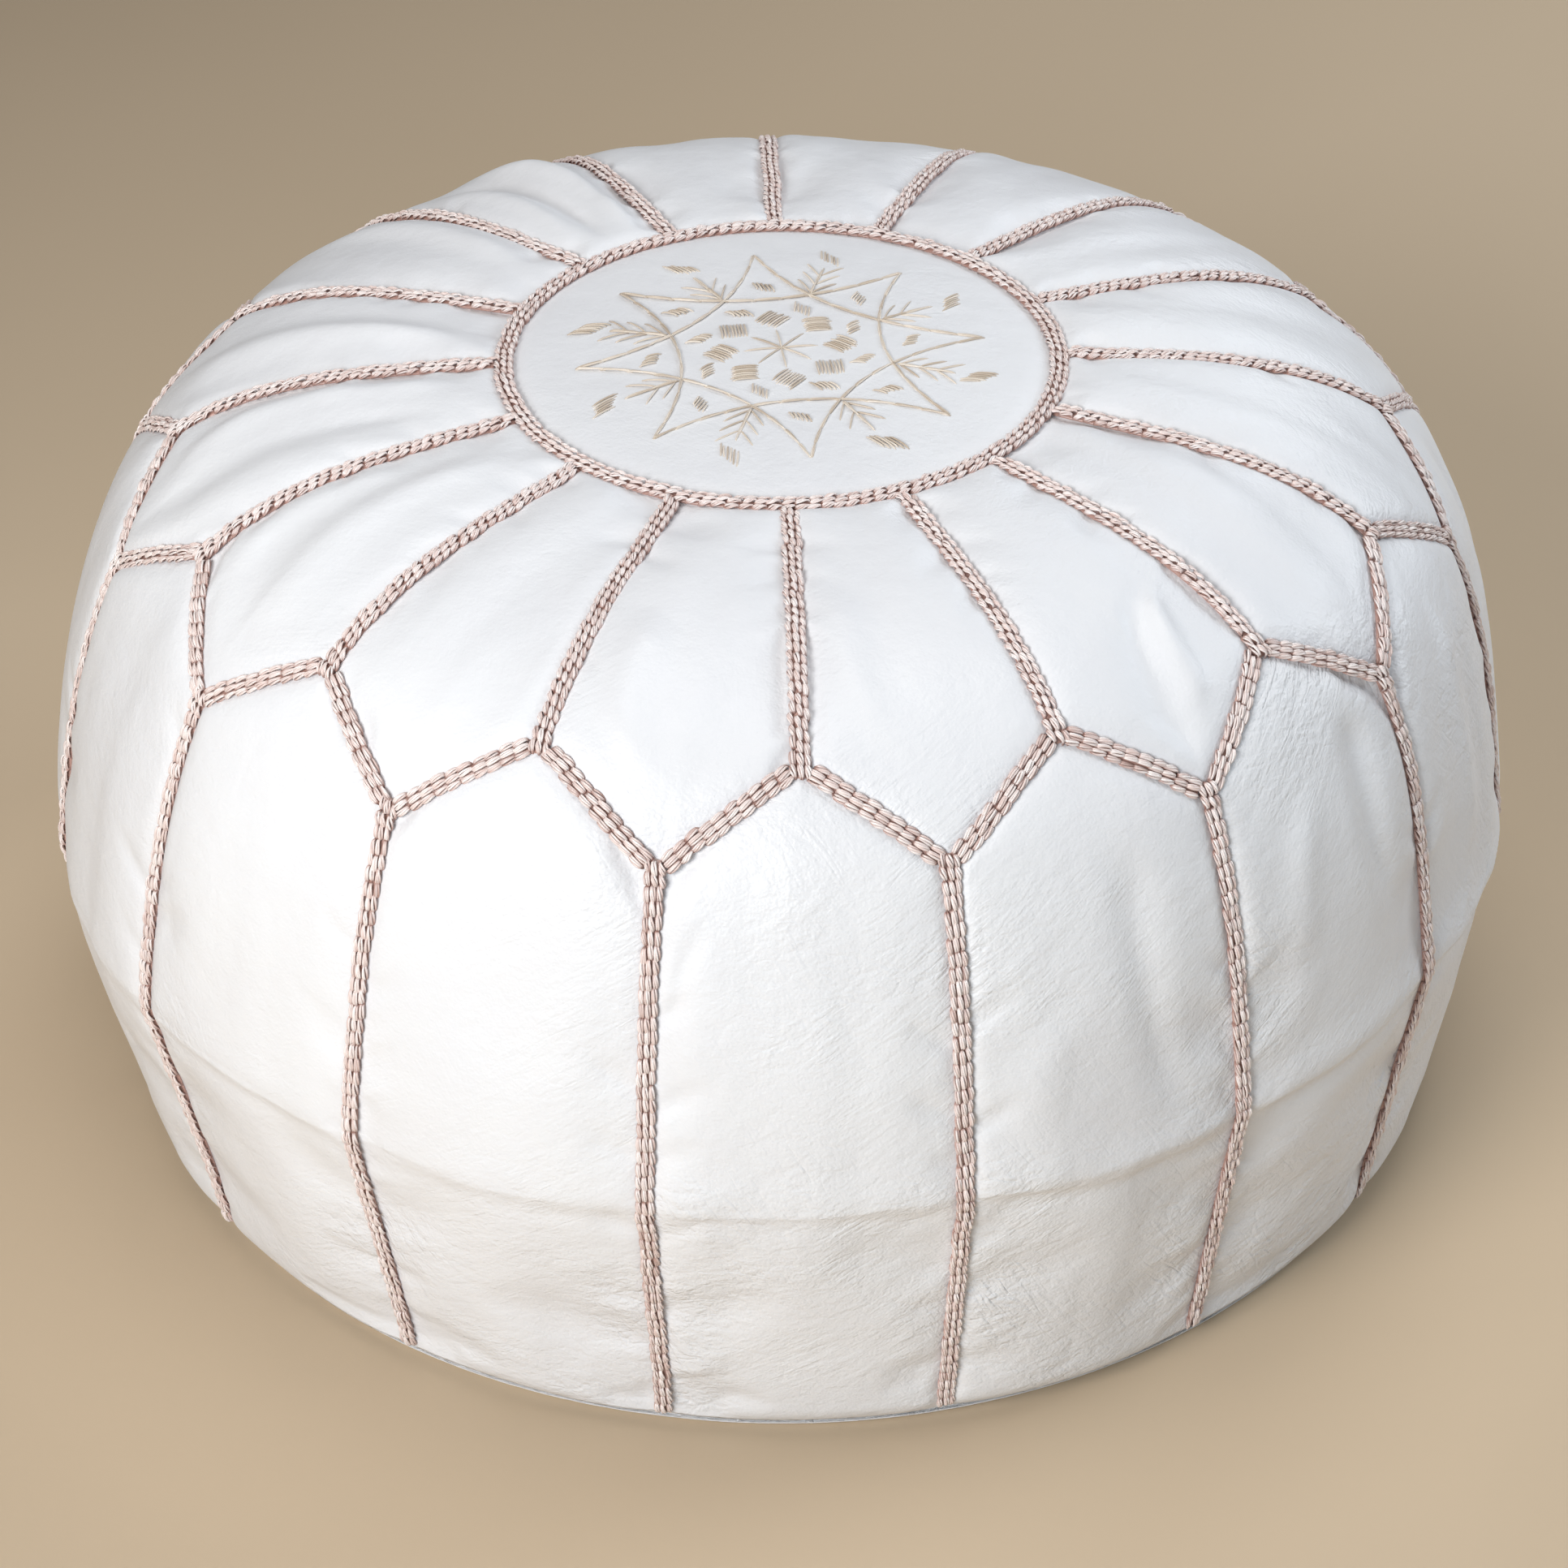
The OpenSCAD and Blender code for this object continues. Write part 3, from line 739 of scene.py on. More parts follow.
SIDE_FOLDS = [
    (1, (-0.72, 0.1), (-0.78, 0.42), 5, -2.2),
    (3, (0.55, 0.06), (0.5, 0.4), 8, -3.2),
    (3, (-0.2, 0.15), (-0.45, 0.5), 10, 1.8),
    (4, (0.1, 0.1), (-0.1, 0.5), 9, 2.0),
    (5, (0.2, 0.05), (0.0, 0.45), 8, -2.4),
    (2, (0.3, 0.1), (0.6, 0.55), 9, -2.0),
    (2, (-0.4, 0.3), (-0.2, 0.6), 12, 1.6),
]


def placed_folds(folds, number, share_across, share_down, size):
    """Height of the listed folds: number is each point's panel, and size its half width
    and length in metres."""
    lift = np.zeros(number.shape)
    for panel, start, end, width, height in folds:
        here = number == panel
        x = (share_across[here] - start[0]) * size[0]
        y = (share_down[here] - start[1]) * size[1]
        dx, dy = (end[0] - start[0]) * size[0], (end[1] - start[1]) * size[1]
        length = math.hypot(dx, dy)
        along = (x * dx + y * dy) / length
        bend = 0.08 * length * np.sin(math.pi * along / length)
        aside = (x * dy - y * dx) / length + bend
        ends = smooth_ramp(along / (0.25 * length))
        ends = ends * smooth_ramp((length - along) / (0.3 * length))
        lift[here] += height * MM * fade(aside, width * MM) * ends
    return lift


def make_skin():
    """The whole leather skin as one fine grid of points, cut into panels later."""
    azimuth, s = skin_grid(1)
    rows = len(s)
    column = np.arange(PANELS * COLUMNS)
    held = np.zeros(s.shape, bool)
    held[[0, TOP_ROWS, rows - 1]] = True
    held[:TOP_ROWS, column % COLUMNS == 0] = True
    held[TOP_ROWS:, column % COLUMNS == COLUMNS // 2] = True
    push = inflate(azimuth, s, held)
    top, side = push[:TOP_ROWS + 1], push[TOP_ROWS:]
    parts = [refine(refine(part, FINE, 0, False), FINE, 1, True) for part in (top, side)]
    push = np.concatenate([parts[0], parts[1][1:]])

    azimuth, s = skin_grid(FINE)
    panel, across, nearest, is_top = skin_distances(azimuth, s)
    crumple = crumpling(s, azimuth, across, panel, nearest, is_top)
    number = np.where(is_top, panel - PETAL_SHIFT, panel) % PANELS + 1
    half = STEP / 2 * outline_at(s)[0]
    seam = zigzag_s(azimuth)
    petal_down = (s - S_RING) / (seam - S_RING)
    side_down = (s - seam) / (S_HEM - seam)
    folds = np.where(
        is_top,
        placed_folds(PETAL_FOLDS, number, across / half, petal_down, PETAL_SIZE),
        placed_folds(SIDE_FOLDS, number, across / half, side_down, SIDE_SIZE),
    )
    away = 1 - fade(nearest, 0.006)
    lift = -SEAM_DIP * fade(nearest, 0.0055)
    lift += away * (
        belly_fold(s, azimuth, across, panel, nearest)
        + soft_waves(s, across, panel, is_top)
        + wrinkles(s, across, panel, nearest, is_top, crumple)
    )
    lift += (1 - fade(nearest, 0.012)) * folds
    lift *= np.clip((S_HEM - s) / 0.012, 0, 1)
    hem_wave = 0.5 + 0.5 * noise((azimuth - FRONT) * PANELS / 3.1, s / 0.1, 8.2)
    lift += 1.2 * MM * hem_wave * fade(S_HEM - s, 0.012) * (1 - 0.8 * fade(nearest, 0.01))
    points = surface(azimuth, s, lift)
    points[..., 0] += push[..., 0] * np.cos(azimuth) - push[..., 1] * np.sin(azimuth)
    points[..., 1] += push[..., 0] * np.sin(azimuth) + push[..., 1] * np.cos(azimuth)
    points[..., 2] = np.maximum(points[..., 2] + push[..., 2], 4.5 * MM)
    return {
        "points": points, "normals": surface_normal(azimuth, s),
        "across": across, "down": s - S_RING, "panel": panel, "crumple": crumple,
    }


def draw_in(patch, gap):
    """Moves the edges of a grid patch inwards by a gap, so that neighbours don't touch."""
    patch = patch.copy()
    for edge, inner in ((0, 1), (-1, -2)):
        for view in (patch, patch.swapaxes(0, 1)):
            step = view[inner] - view[edge]
            view[edge] += gap * step / np.linalg.norm(step, axis=-1, keepdims=True)
    return patch


def leather_panel(name, node, skin, rows, first_column):
    """One panel of the skin as a closed piece of leather."""
    total = skin["points"].shape[1]
    columns = (first_column + np.arange(COLUMNS * FINE + 1)) % total
    cut = {key: values[rows][:, columns] for key, values in skin.items()}
    outer = draw_in(cut["points"], SEAM_GAP / 2)
    inner = (outer - LEATHER_T * cut["normals"])[::FINE, ::FINE]
    points, face_sets = closed_shell(outer, inner, FINE)
    panel = cut["panel"][len(outer) // 2, outer.shape[1] // 2]
    across, down = cut["across"], cut["down"]
    if rows.start:
        # The first row is the zigzag, which was measured across its petals
        across[0] = across[1]
    fine = leather_values(across, down, panel, cut["crumple"])
    coarse = leather_values(across[::FINE, ::FINE], down[::FINE, ::FINE], panel, 0.3)
    values = {key: np.concatenate([fine[key], coarse[key]]) for key in fine}
    piece = make_piece(name, points, face_sets, LEATHER, values, node)


def make_panels():
    """The sixteen petals and the sixteen side panels."""
    skin = make_skin()
    zigzag_row = TOP_ROWS * FINE
    width = COLUMNS * FINE
    for i in range(PANELS):
        number = f"{i + 1:02d}"
        leather_panel(f"petal_leather_{number}", f"petal_{number}", skin,
                      slice(0, zigzag_row + 1), i * width)
        leather_panel(f"side_leather_{number}", f"side_panel_{number}", skin,
                      slice(zigzag_row, None), i * width - width // 2)


# ---------------------------------------------------------------- braids
class Path:
    """A line on the body: points and normals by distance along it."""

    def __init__(self, azimuth, s):
        """The line through the points at these azimuths and arc lengths."""
        azimuth, s = np.broadcast_arrays(azimuth, s)
        self.points = surface(azimuth, s)
        self.normals = surface_normal(azimuth, s)
        self.distance = distances_along(self.points)
        self.length = self.distance[-1]
        along = np.gradient(self.points, self.distance, axis=0)
        across = np.cross(self.normals, along)
        self.across = across / np.linalg.norm(across, axis=1, keepdims=True)
        self.along = along / np.linalg.norm(along, axis=1, keepdims=True)

    def place(self, distance, aside, height):
        """Points at a distance along, moved aside and raised; past an end it runs straight."""
        inside = np.clip(distance, 0, self.length)
        beyond = (distance - inside)[..., None]
        base, normal, across, along = (
            np.stack([np.interp(inside, self.distance, v[:, k]) for k in range(3)], axis=-1)
            for v in (self.points, self.normals, self.across, self.along)
        )
        offset = aside[..., None] * across + height[..., None] * normal
        return base + beyond * along + offset, normal


ROW_PITCH = 5.1 * MM
CELLS = 3
STRAND_NODES = 7
STRAND_R = 0.42 * MM
THIN_STRAND_R = 0.35 * MM


def centred(count):
    """Whole steps with their middle at 0: -1, 0, 1 for a count of 3."""
    return np.arange(count) - (count - 1) / 2


def braid_cells(path, rng, width, ends, rise=BRAID_T, lean=0.15, twist=0.8,
                row_pitch=ROW_PITCH, strands=3, strand_r=STRAND_R):
    """Rows of puffed cells of silk along a path, each of some strands. ends are the lengths
    left out, rise is the height of the cells, lean slants the rows, and twist is how far
    the strands wind round their cell. Returns points, face sets, and each point's share of
    the height and its strand's tone."""
    length = path.length - sum(ends)
    rows = max(1, round(length / row_pitch))
    pitch = length / rows
    row, column, strand, node = np.meshgrid(
        np.arange(rows), centred(CELLS), centred(strands) * 3 / strands,
        np.linspace(-1, 1, STRAND_NODES), indexing="ij",
    )
    shape = (rows, CELLS, strands)
    cell = (rows, CELLS, 1, 1)
    puff = 1 + 0.12 * rng.standard_normal(cell)
    shift = 0.07 * pitch * rng.standard_normal(cell)
    sway = 0.2 * MM * rng.standard_normal((rows, 1, 1, 1))
    wound = 0.86 * strand + twist * (1 + 0.3 * rng.standard_normal(cell)) * node
    wound += 0.12 * rng.standard_normal((*shape, 1))
    wound /= (1 + np.abs(wound) ** 3) ** (1 / 3)
    cell_w = width / CELLS
    dome = np.sqrt(np.clip(1 - node**2, 0, 1))
    distance = ends[0] + (row + 0.5) * pitch + shift + 0.64 * pitch * node
    distance = distance + lean * column * cell_w
    aside = column * cell_w + sway + wound * cell_w * 0.42 * (0.5 + 0.5 * dome)
    aside = aside + 0.5 * MM * column * (dome - 0.75)
    outward = np.clip(wound * column, 0, 1)
    top = (rise - STRAND_R) * (1 - 0.2 * np.abs(column)) * puff
    low = -0.3 * MM - 0.7 * MM * outward
    height = low + (top - low) * dome**0.55 * np.sqrt(1 - (0.62 + 0.3 * outward) * wound**2)
    height += 0.12 * MM * dome * rng.standard_normal((*shape, 1))
    centres, up = path.place(distance, aside, height)
    radii = strand_r * (0.72 + 0.28 * dome)
    flat = (-1, STRAND_NODES)
    points, face_sets, size = tubes(
        centres.reshape(*flat, 3), up.reshape(*flat, 3), radii.reshape(flat)
    )
    # This height share is the mask of the silk's painted shade: the lower a point, the darker it is
    # coloured.
    share = np.repeat(((height - low) / (rise - low)).ravel(), size // STRAND_NODES)
    tone = np.repeat(rng.random(shape).ravel(), size)
    return points, face_sets, share, tone


def braid_bed(path, width, ends):
    """The flat core that the cells are worked over: a low closed band. Returns what
    braid_cells does."""
    count = max(3, round((path.length - sum(ends)) / (3 * MM)))
    along = np.linspace(ends[0], path.length - ends[1], count)[:, None]
    # The band's section: shares of the width aside, and millimetres up
    section_x = np.array([[-0.36, -0.32, -0.18, 0.18, 0.32, 0.36, 0.3, -0.3]]) * width
    section_z = np.array([[-1.0, -0.4, 0.2, 0.2, -0.4, -1.0, -1.3, -1.3]]) * MM
    distance, aside, height = np.broadcast_arrays(along, section_x, section_z)
    points, _ = path.place(distance, aside, height)
    points = points.reshape(-1, 3)
    sides = section_x.size
    walls = grid_faces(count, sides, wrap=True)
    caps = np.array([np.arange(sides), len(points) - 1 - np.arange(sides)])
    # Painted shade: a height share of 0 gives the whole bed the silk's dark shade colour.
    return points, [walls, caps], np.zeros(len(points)), np.full(len(points), 0.3)


def make_braid(name, node, path, seed, width=BRAID_W, ends=(0, 0), **style):
    """One piece of braid along a path."""
    rng = np.random.default_rng(seed)
    parts = braid_bed(path, width, ends), braid_cells(path, rng, width, ends, **style)
    points, face_sets = join_parts([part[:2] for part in parts])
    share, tone = (np.concatenate([part[k] for part in parts]) for k in (2, 3))
    # The height share drives the silk's painted shade in the crevices.
    values = {"height": share, "strand": tone}
    make_piece(name, points, face_sets, SILK, values, node)


def make_braids():
    """The ring braid, and for each panel its radial, zigzag and side braids and knots."""
    half_knot = KNOT_R - 0.6 * MM
    fine = {"strands": 4, "strand_r": THIN_STRAND_R}
    full_turn = np.linspace(0, 2 * math.pi, 721)
    make_braid("medallion_ring_braid", "ring_braid", Path(full_turn, S_RING), 100,
               width=BRAID_W * 1.04, lean=0.3, twist=1.6, row_pitch=4.7 * MM, **fine)
    for i in range(PANELS):
        number = f"{i + 1:02d}"
        peak = FRONT + i * STEP
        valley = peak + STEP / 2
        down = np.linspace(S_RING + BRAID_W / 2, S_PEAK, 140)
        make_braid(f"radial_braid_{number}", "radial_braids", Path(peak, down), 200 + i,
                   lean=0.5, twist=1.4, ends=(0, half_knot), row_pitch=4.4 * MM, **fine)
        for way, letter, seed in ((1, "a", 300), (-1, "b", 400)):
            azimuth = np.linspace(peak, peak + way * STEP / 2, 80)
            path = Path(azimuth, zigzag_s(azimuth))
            make_braid(f"zigzag_braid_{number}{letter}", "zigzag_braids", path, seed + i,
                       ends=(half_knot, half_knot))
        down = np.linspace(S_VALLEY, S_HEM - 1.5 * MM, 260)
        make_braid(f"side_braid_{number}", "side_braids", Path(valley, down), 500 + i,
                   width=BRAID_W * 0.94, lean=-0.12, twist=0.75, ends=(half_knot, 0))
        reach = np.linspace(-half_knot, half_knot, 21)
        for kind, azimuth, s in (("peak", peak, S_PEAK), ("valley", valley, S_VALLEY)):
            make_braid(f"{kind}_knot_{number}", f"{kind}_knots", Path(azimuth, s + reach),
                       600 + i, width=BRAID_W * 1.08, rise=BRAID_T + 0.5 * MM, twist=1.2)


# ---------------------------------------------------------------- the medallion
def make_medallion():
    """The round leather top, slightly domed, with a few faint creases."""
    columns, rows, ratio = 240, 48, 4
    azimuth = 2 * math.pi * np.arange(columns) / columns
    edge = S_RING - SEAM_GAP / 2
    s = np.linspace(edge / rows, edge, rows)[:, None] + 0 * azimuth
    flat = surface(azimuth, s)
    x, y = flat[..., 0], flat[..., 1]
    away = 1 - fade(S_RING - s, 0.007)
    lift = DOME_H * np.cos(s / S_RING * math.pi / 2) * away - SEAM_DIP * fade(S_RING - s, 0.006)
    lift += away * 0.35 * MM * noise(x / 0.06, y / 0.035, 2.2)
    lift -= away * 0.1 * MM * crease(x / 0.05, (y + 0.6 * x) / 0.018, 7.1, 10)
    outer = surface(azimuth, s, lift)
    inner = (outer - [0, 0, LEATHER_T])[ratio - 1::ratio, ::ratio]
    top_hub = np.array([[0, 0, outer[0, :, 2].mean()]])
    low_hub = top_hub - [[0, 0, LEATHER_T]]
    points = np.concatenate([outer.reshape(-1, 3), inner.reshape(-1, 3), top_hub, low_hub])
    fine = np.arange(rows * columns).reshape(rows, columns)
    in_rows, in_columns = inner.shape[:2]
    coarse = fine.size + np.arange(in_rows * in_columns).reshape(in_rows, in_columns)
    top_hub, low_hub = len(points) - 2, len(points) - 1
    hub_fan = [[top_hub, fine[0, k], fine[0, (k + 1) % columns]] for k in range(columns)]
    rim = []
    for k in range(in_columns):
        after = (k + 1) % in_columns
        hub_fan.append([low_hub, coarse[0, after], coarse[0, k]])
        outer_edge = [fine[-1, (k * ratio + j) % columns] for j in range(ratio + 1)]
        rim.append([coarse[-1, k], coarse[-1, after], *outer_edge[::-1]])
    face_sets = [
        grid_faces(rows, columns, wrap=True),
        grid_faces(in_rows, in_columns, wrap=True, start=fine.size)[:, ::-1],
        hub_fan,
        rim,
    ]
    worn = 0.1 + 0.1 * noise(points[:, 0] / 0.05, points[:, 1] / 0.05, 3.3)
    values = leather_values(points[:, 0], points[:, 1], 41.0, worn)
    piece = make_piece(
        "medallion_leather", points, face_sets, LEATHER, values, "medallion"
    )


# ---------------------------------------------------------------- the embroidery
FREE_R = RING_R - BRAID_W / 2
STAR_TURN = math.radians(6.5)
STAR_POINTS = 8
THREAD_R = 0.38 * MM
LONG_STITCH = 10 * MM
STITCH_NODES = 7
LONG_NODES = 9


def on_medallion(points, height):
    """Points (x, y) laid on the domed medallion, at a height above its leather."""
    r = np.hypot(points[..., 0], points[..., 1])
    z = outline_at(r)[1] + DOME_H * np.cos(r / S_RING * math.pi / 2)
    return np.concatenate([points, (z + height)[..., None]], axis=-1)


def arch(count):
    """Heights from 0 up to 1 and back, on a half circle."""
    return np.sqrt(np.clip(1 - np.linspace(-1, 1, count) ** 2, 0, 1))


def stitch(p, q, rng):
    """One straight stitch from p to q: it comes up, arches over and goes down."""
    t = np.linspace(0, 1, STITCH_NODES)[:, None]
    p, q = np.array(p), np.array(q)
    line = p + (q - p) * t
    aside = np.array([p[1] - q[1], q[0] - p[0]]) / max(np.linalg.norm(q - p), 1e-6)
    line = line + aside * 0.12 * MM * rng.standard_normal() * np.sin(math.pi * t)
    hump = arch(STITCH_NODES)
    height = 0.45 * MM * hump - 0.3 * MM * (1 - hump)
    return on_medallion(line, height), THREAD_R * (0.65 + 0.35 * hump)


def twisted_line(points, rng):
    """Long stitches along a line, each of two strands twisted round each other."""
    distance = distances_along(points)
    count = max(1, round(distance[-1] / LONG_STITCH))
    marks = np.linspace(0, distance[-1], count + 1)
    hump = arch(LONG_NODES)
    made = []
    for k in range(count):
        # Neighbouring stitches overlap a little
        start = marks[k] - 1.1 * MM * (k > 0)
        part = np.linspace(start, marks[k + 1] + 0.9 * MM * (k < count - 1), LONG_NODES)
        line = np.stack([np.interp(part, distance, values) for values in points.T], axis=-1)
        ahead = line[-1] - line[0]
        aside = np.array([-ahead[1], ahead[0]]) / np.linalg.norm(ahead)
        phase = np.linspace(0, 0.8 * math.pi, LONG_NODES) + rng.uniform(0.6, 1.4)
        for way in (0, math.pi):
            wind = 0.3 * MM * np.sin(phase + way)
            height = 0.25 * MM + 0.14 * MM * np.cos(phase + way) + 0.14 * MM * hump
            height -= 0.5 * MM * (1 - hump) ** 2
            centres = on_medallion(line + wind[:, None] * aside, height)
            made.append((centres, THREAD_R * (0.75 + 0.25 * hump)))
    return made


def satin_patch(place, r, half_l, half_w, rng, threads=5):
    """Parallel stitches that fill a diamond, each one running nearly along the radius."""
    made = []
    tilt = 0.15 * half_l
    for k in range(threads):
        u = (k + 0.5) / threads * 2 - 1
        aside = u * half_w
        reach = half_l * 0.62 * (1 + 0.1 * rng.standard_normal())
        middle = r + 0.34 * half_l * u
        start, end = place(middle - reach, aside - tilt), place(middle + reach, aside + tilt)
        made.append(stitch(start, end, rng))
    return made


def satin_square(place, r, half, rng, threads=8):
    """Parallel stitches that fill a square with a corner towards the centre."""
    made = []
    for k in range(threads):
        u = (k + 0.5) / threads * 2 - 1
        jog = 0.05 * half * rng.standard_normal()
        start = place(r + half * (u - 1) / 2 + jog, half * (u + 1) / 2 - jog)
        end = place(r + half * (u + 1) / 2 + jog, half * (u - 1) / 2 - jog)
        made.append(stitch(start, end, rng))
    return made


def make_embroidery():
    """An eight-pointed star of two concave squares, with diamonds, buds and sprigs. Places
    are shares of the medallion's free radius, outwards and aside."""
    rng = np.random.default_rng(77)
    short, long = [], []
    for k in range(STAR_POINTS):
        angle = STAR_TURN + k * 2 * math.pi / STAR_POINTS

        def at(r, aside, turn=angle):
            cos, sin = math.cos(turn), math.sin(turn)
            return [(r * cos - aside * sin) * FREE_R, (r * sin + aside * cos) * FREE_R]

        between = angle + math.pi / STAR_POINTS

        def at_between(r, aside):
            return at(r, aside, between)

        short.append(stitch(at(-0.02, 0), at(0.145, 0), rng))
        short += satin_square(at, 0.225, 0.074, rng)
        short += satin_patch(at, 0.49, 0.05, 0.038, rng)
        short += satin_patch(at_between, 0.315, 0.052, 0.038, rng)
        short += satin_patch(at_between, 0.75, 0.08, 0.044, rng, 6)
        tips = [np.array(at(0.77, 0, angle + way * math.pi / 4)) for way in (-1, 1)]
        pull = np.array(at(0.216, 0))
        t = np.linspace(0, 1, 40)[:, None]
        long += twisted_line((1 - t) ** 2 * tips[0] + 2 * t * (1 - t) * pull + t**2 * tips[1], rng)
        stem = [at_between(r, 0) for r in np.linspace(0.44, 0.665, 12)]
        long += twisted_line(np.array(stem), rng)
        for pair in range(2 + k % 2):
            root = 0.45 + 0.07 * pair
            for way in (-1, 1):
                tip = at_between(root + 0.1, way * 0.078)
                short.append(stitch(at_between(root, 0), tip, rng))
    parts, tones = [], []
    for group in (short, long):
        centres, radii = (np.array([made[k] for made in group]) for k in (0, 1))
        points, face_sets, size = tubes(centres, UP, radii, sides=6)
        parts.append((points, face_sets))
        tones.append(np.repeat(rng.random(len(group)), size))
    points, face_sets = join_parts(parts)
    values = {"height": np.full(len(points), 0.7), "strand": np.concatenate(tones)}
    make_piece("medallion_star_embroidery", points, face_sets, GOLD, values,
               "medallion_embroidery")


# ---------------------------------------------------------------- the base
WELT_RING_R = FOOT[0] - 6 * MM
WELT_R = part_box("base_welt")[1].z / 2
BASE_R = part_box("base_front")[1].x
SLOT_HALF_W = 7.5 * MM
TAPE_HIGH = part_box("zipper_tape_back")[1]
SLOT_HALF_L = TAPE_HIGH.x - 6 * MM
FLANGE_W = 12.5 * MM
RAMP_W = 14 * MM
CHANNEL_H = 7.5 * MM
SEWING_R = 0.3 * MM


def mound(x, y, grow=0.0):
    """Share of the channel's full height at (x, y): 1 over the zipper, 0 away from it."""
    in_x = (SLOT_HALF_L + FLANGE_W + grow + RAMP_W - np.abs(x)) / RAMP_W
    in_y = (SLOT_HALF_W + FLANGE_W + grow + RAMP_W - np.abs(y)) / RAMP_W
    return smooth_ramp(np.minimum(in_x, in_y))


def make_welt():
    """The welt: two folded strips of leather, one on the other, with a groove between."""
    rings, sides = 480, 20
    azimuth = 2 * math.pi * np.arange(rings)[:, None] / rings
    angle = 2 * math.pi * np.arange(sides)[None] / sides
    groove = 0.75 * MM * fade(np.sin(angle), 0.22) * (np.cos(angle) > 0)
    ripple = 0.12 * MM * noise(azimuth * 40, np.sin(angle) * 2, 1.5 + 0 * azimuth)
    out = (WELT_R - groove + ripple) * np.cos(angle)
    rise = WELT_R + WELT_R * 0.98 * np.sin(angle) + 0 * azimuth
    ring_r = WELT_RING_R + out + 0.25 * MM * noise(azimuth * 6, 0.5, 0.5)
    points = polar(ring_r, azimuth, rise).reshape(-1, 3)
    faces = grid_faces(rings, sides, wrap=True, wrap_rows=True)
    values = leather_values(azimuth * WELT_RING_R, angle * WELT_R, 43.0, 0.6)
    make_piece("leather_welt", points, [faces], LEATHER, values, "base_welt")


def make_base_half(side, name, node):
    """Half of the leather base: flat on the floor, rising to the channel of the zipper."""
    columns, rows = 361, 61
    bend = np.linspace(-1, 1, columns)
    x = (BASE_R - 0.5 * MM) * np.sin(bend * math.pi / 2)
    slot_end = smooth_ramp((SLOT_HALF_L - np.abs(x)) / (3 * MM))
    inner = SEAM_GAP / 2 + (SLOT_HALF_W - SEAM_GAP / 2) * slot_end
    outer = np.sqrt(np.maximum(BASE_R**2 - x**2, MM**2))
    t = np.linspace(0, 1, rows)[:, None]
    y = inner + (np.maximum(outer - inner, 0.5 * MM)) * t
    grid_x = x + 0 * y
    r = np.hypot(grid_x, y)
    ease = np.clip((BASE_R - r) / 0.03, 0, 1)
    waves = 0.35 * MM * (1 + noise(grid_x / 0.05, y / 0.05, 4.0 + side)) * ease
    pucker = 0.18 * MM * (1 + noise(np.arctan2(y, grid_x) * 30, r / 0.05, 6.0 + side))
    pucker *= fade(BASE_R - r, 0.03)
    lift = CHANNEL_H * mound(grid_x, y) + (waves + pucker) * (1 - mound(grid_x, y))
    low = np.stack([grid_x, side * y, lift], axis=-1)
    high = low + [0, 0, LEATHER_T]
    if side > 0:
        low, high = low[:, ::-1], high[:, ::-1]
    points, face_sets = closed_shell(low, high[::4, ::4], 4)
    values = leather_values(points[:, 0], points[:, 1], 45.0 + side, 0.4)
    piece = make_piece(name, points, face_sets, BASE_LEATHER, values, node)


def straight_stitches(name, node, middles, way, height):
    """A run of machine stitches as short arched threads, below or above the leather.
    way is each stitch's direction and length."""
    t = np.linspace(-0.5, 0.5, STITCH_NODES)[:, None]
    centres = np.array(middles)[:, None] + np.array(way)[:, None] * t
    centres[..., 2] += height * arch(STITCH_NODES)
    radii = np.broadcast_to(SEWING_R * (0.6 + 0.4 * arch(STITCH_NODES)), centres.shape[:2])
    points, face_sets, _ = tubes(centres, UP, radii, sides=6)
    make_piece(name, points, face_sets, SEWING, node=node)


def make_stitching():
    """Stitches round the base just inside the welt, and along both sides of the zipper."""
    count, ring_r = 150, BASE_R - 5 * MM
    start, end = (
        polar(ring_r, 2 * math.pi * (np.arange(count) + share) / count, LEATHER_T + 0.1 * MM)
        for share in (0.1, 0.75)
    )
    straight_stitches("base_thread", "base_stitching", (start + end) / 2, end - start, 0.35 * MM)
    count, pitch, stitch_l = 80, 4.25 * MM, 3.2 * MM
    middles = [
        [x, side * 12 * MM, z]
        for x in centred(count) * pitch
        for side in (-1, 1)
        for z in (CHANNEL_H - 0.05 * MM, TAPE_HIGH.z)
    ]
    way = [[stitch_l, 0, 0]] * len(middles)
    straight_stitches("zipper_thread", "zipper_stitching", middles, way, -0.2 * MM)


# ---------------------------------------------------------------- the zipper
def make_tape(name):
    """A woven tape with rounded edges and fine ribs along it."""
    low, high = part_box(f"zipper_tape_{name}")
    columns, rows = 179, 9
    x, y = np.meshgrid(np.linspace(low.x, high.x, columns), np.linspace(low.y, high.y, rows))
    edge = np.minimum(y - low.y, high.y - y) / (1.2 * MM)
    round_off = 0.18 * MM * (1 - np.clip(edge, 0, 1)) ** 2
    rib = 0.06 * MM * (np.sin(y / (1.9 * MM) * 2 * math.pi) - 1)
    upper = np.stack([x, y, high.z - round_off + rib], axis=-1)
    lower = np.stack([x, y, low.z + round_off], axis=-1)
    points, face_sets = closed_shell(upper[:, ::-1], lower[:, ::-1], 1)
    make_piece(f"woven_tape_{name}", points, face_sets, TAPE,
               node=f"zipper_tape_{name}")


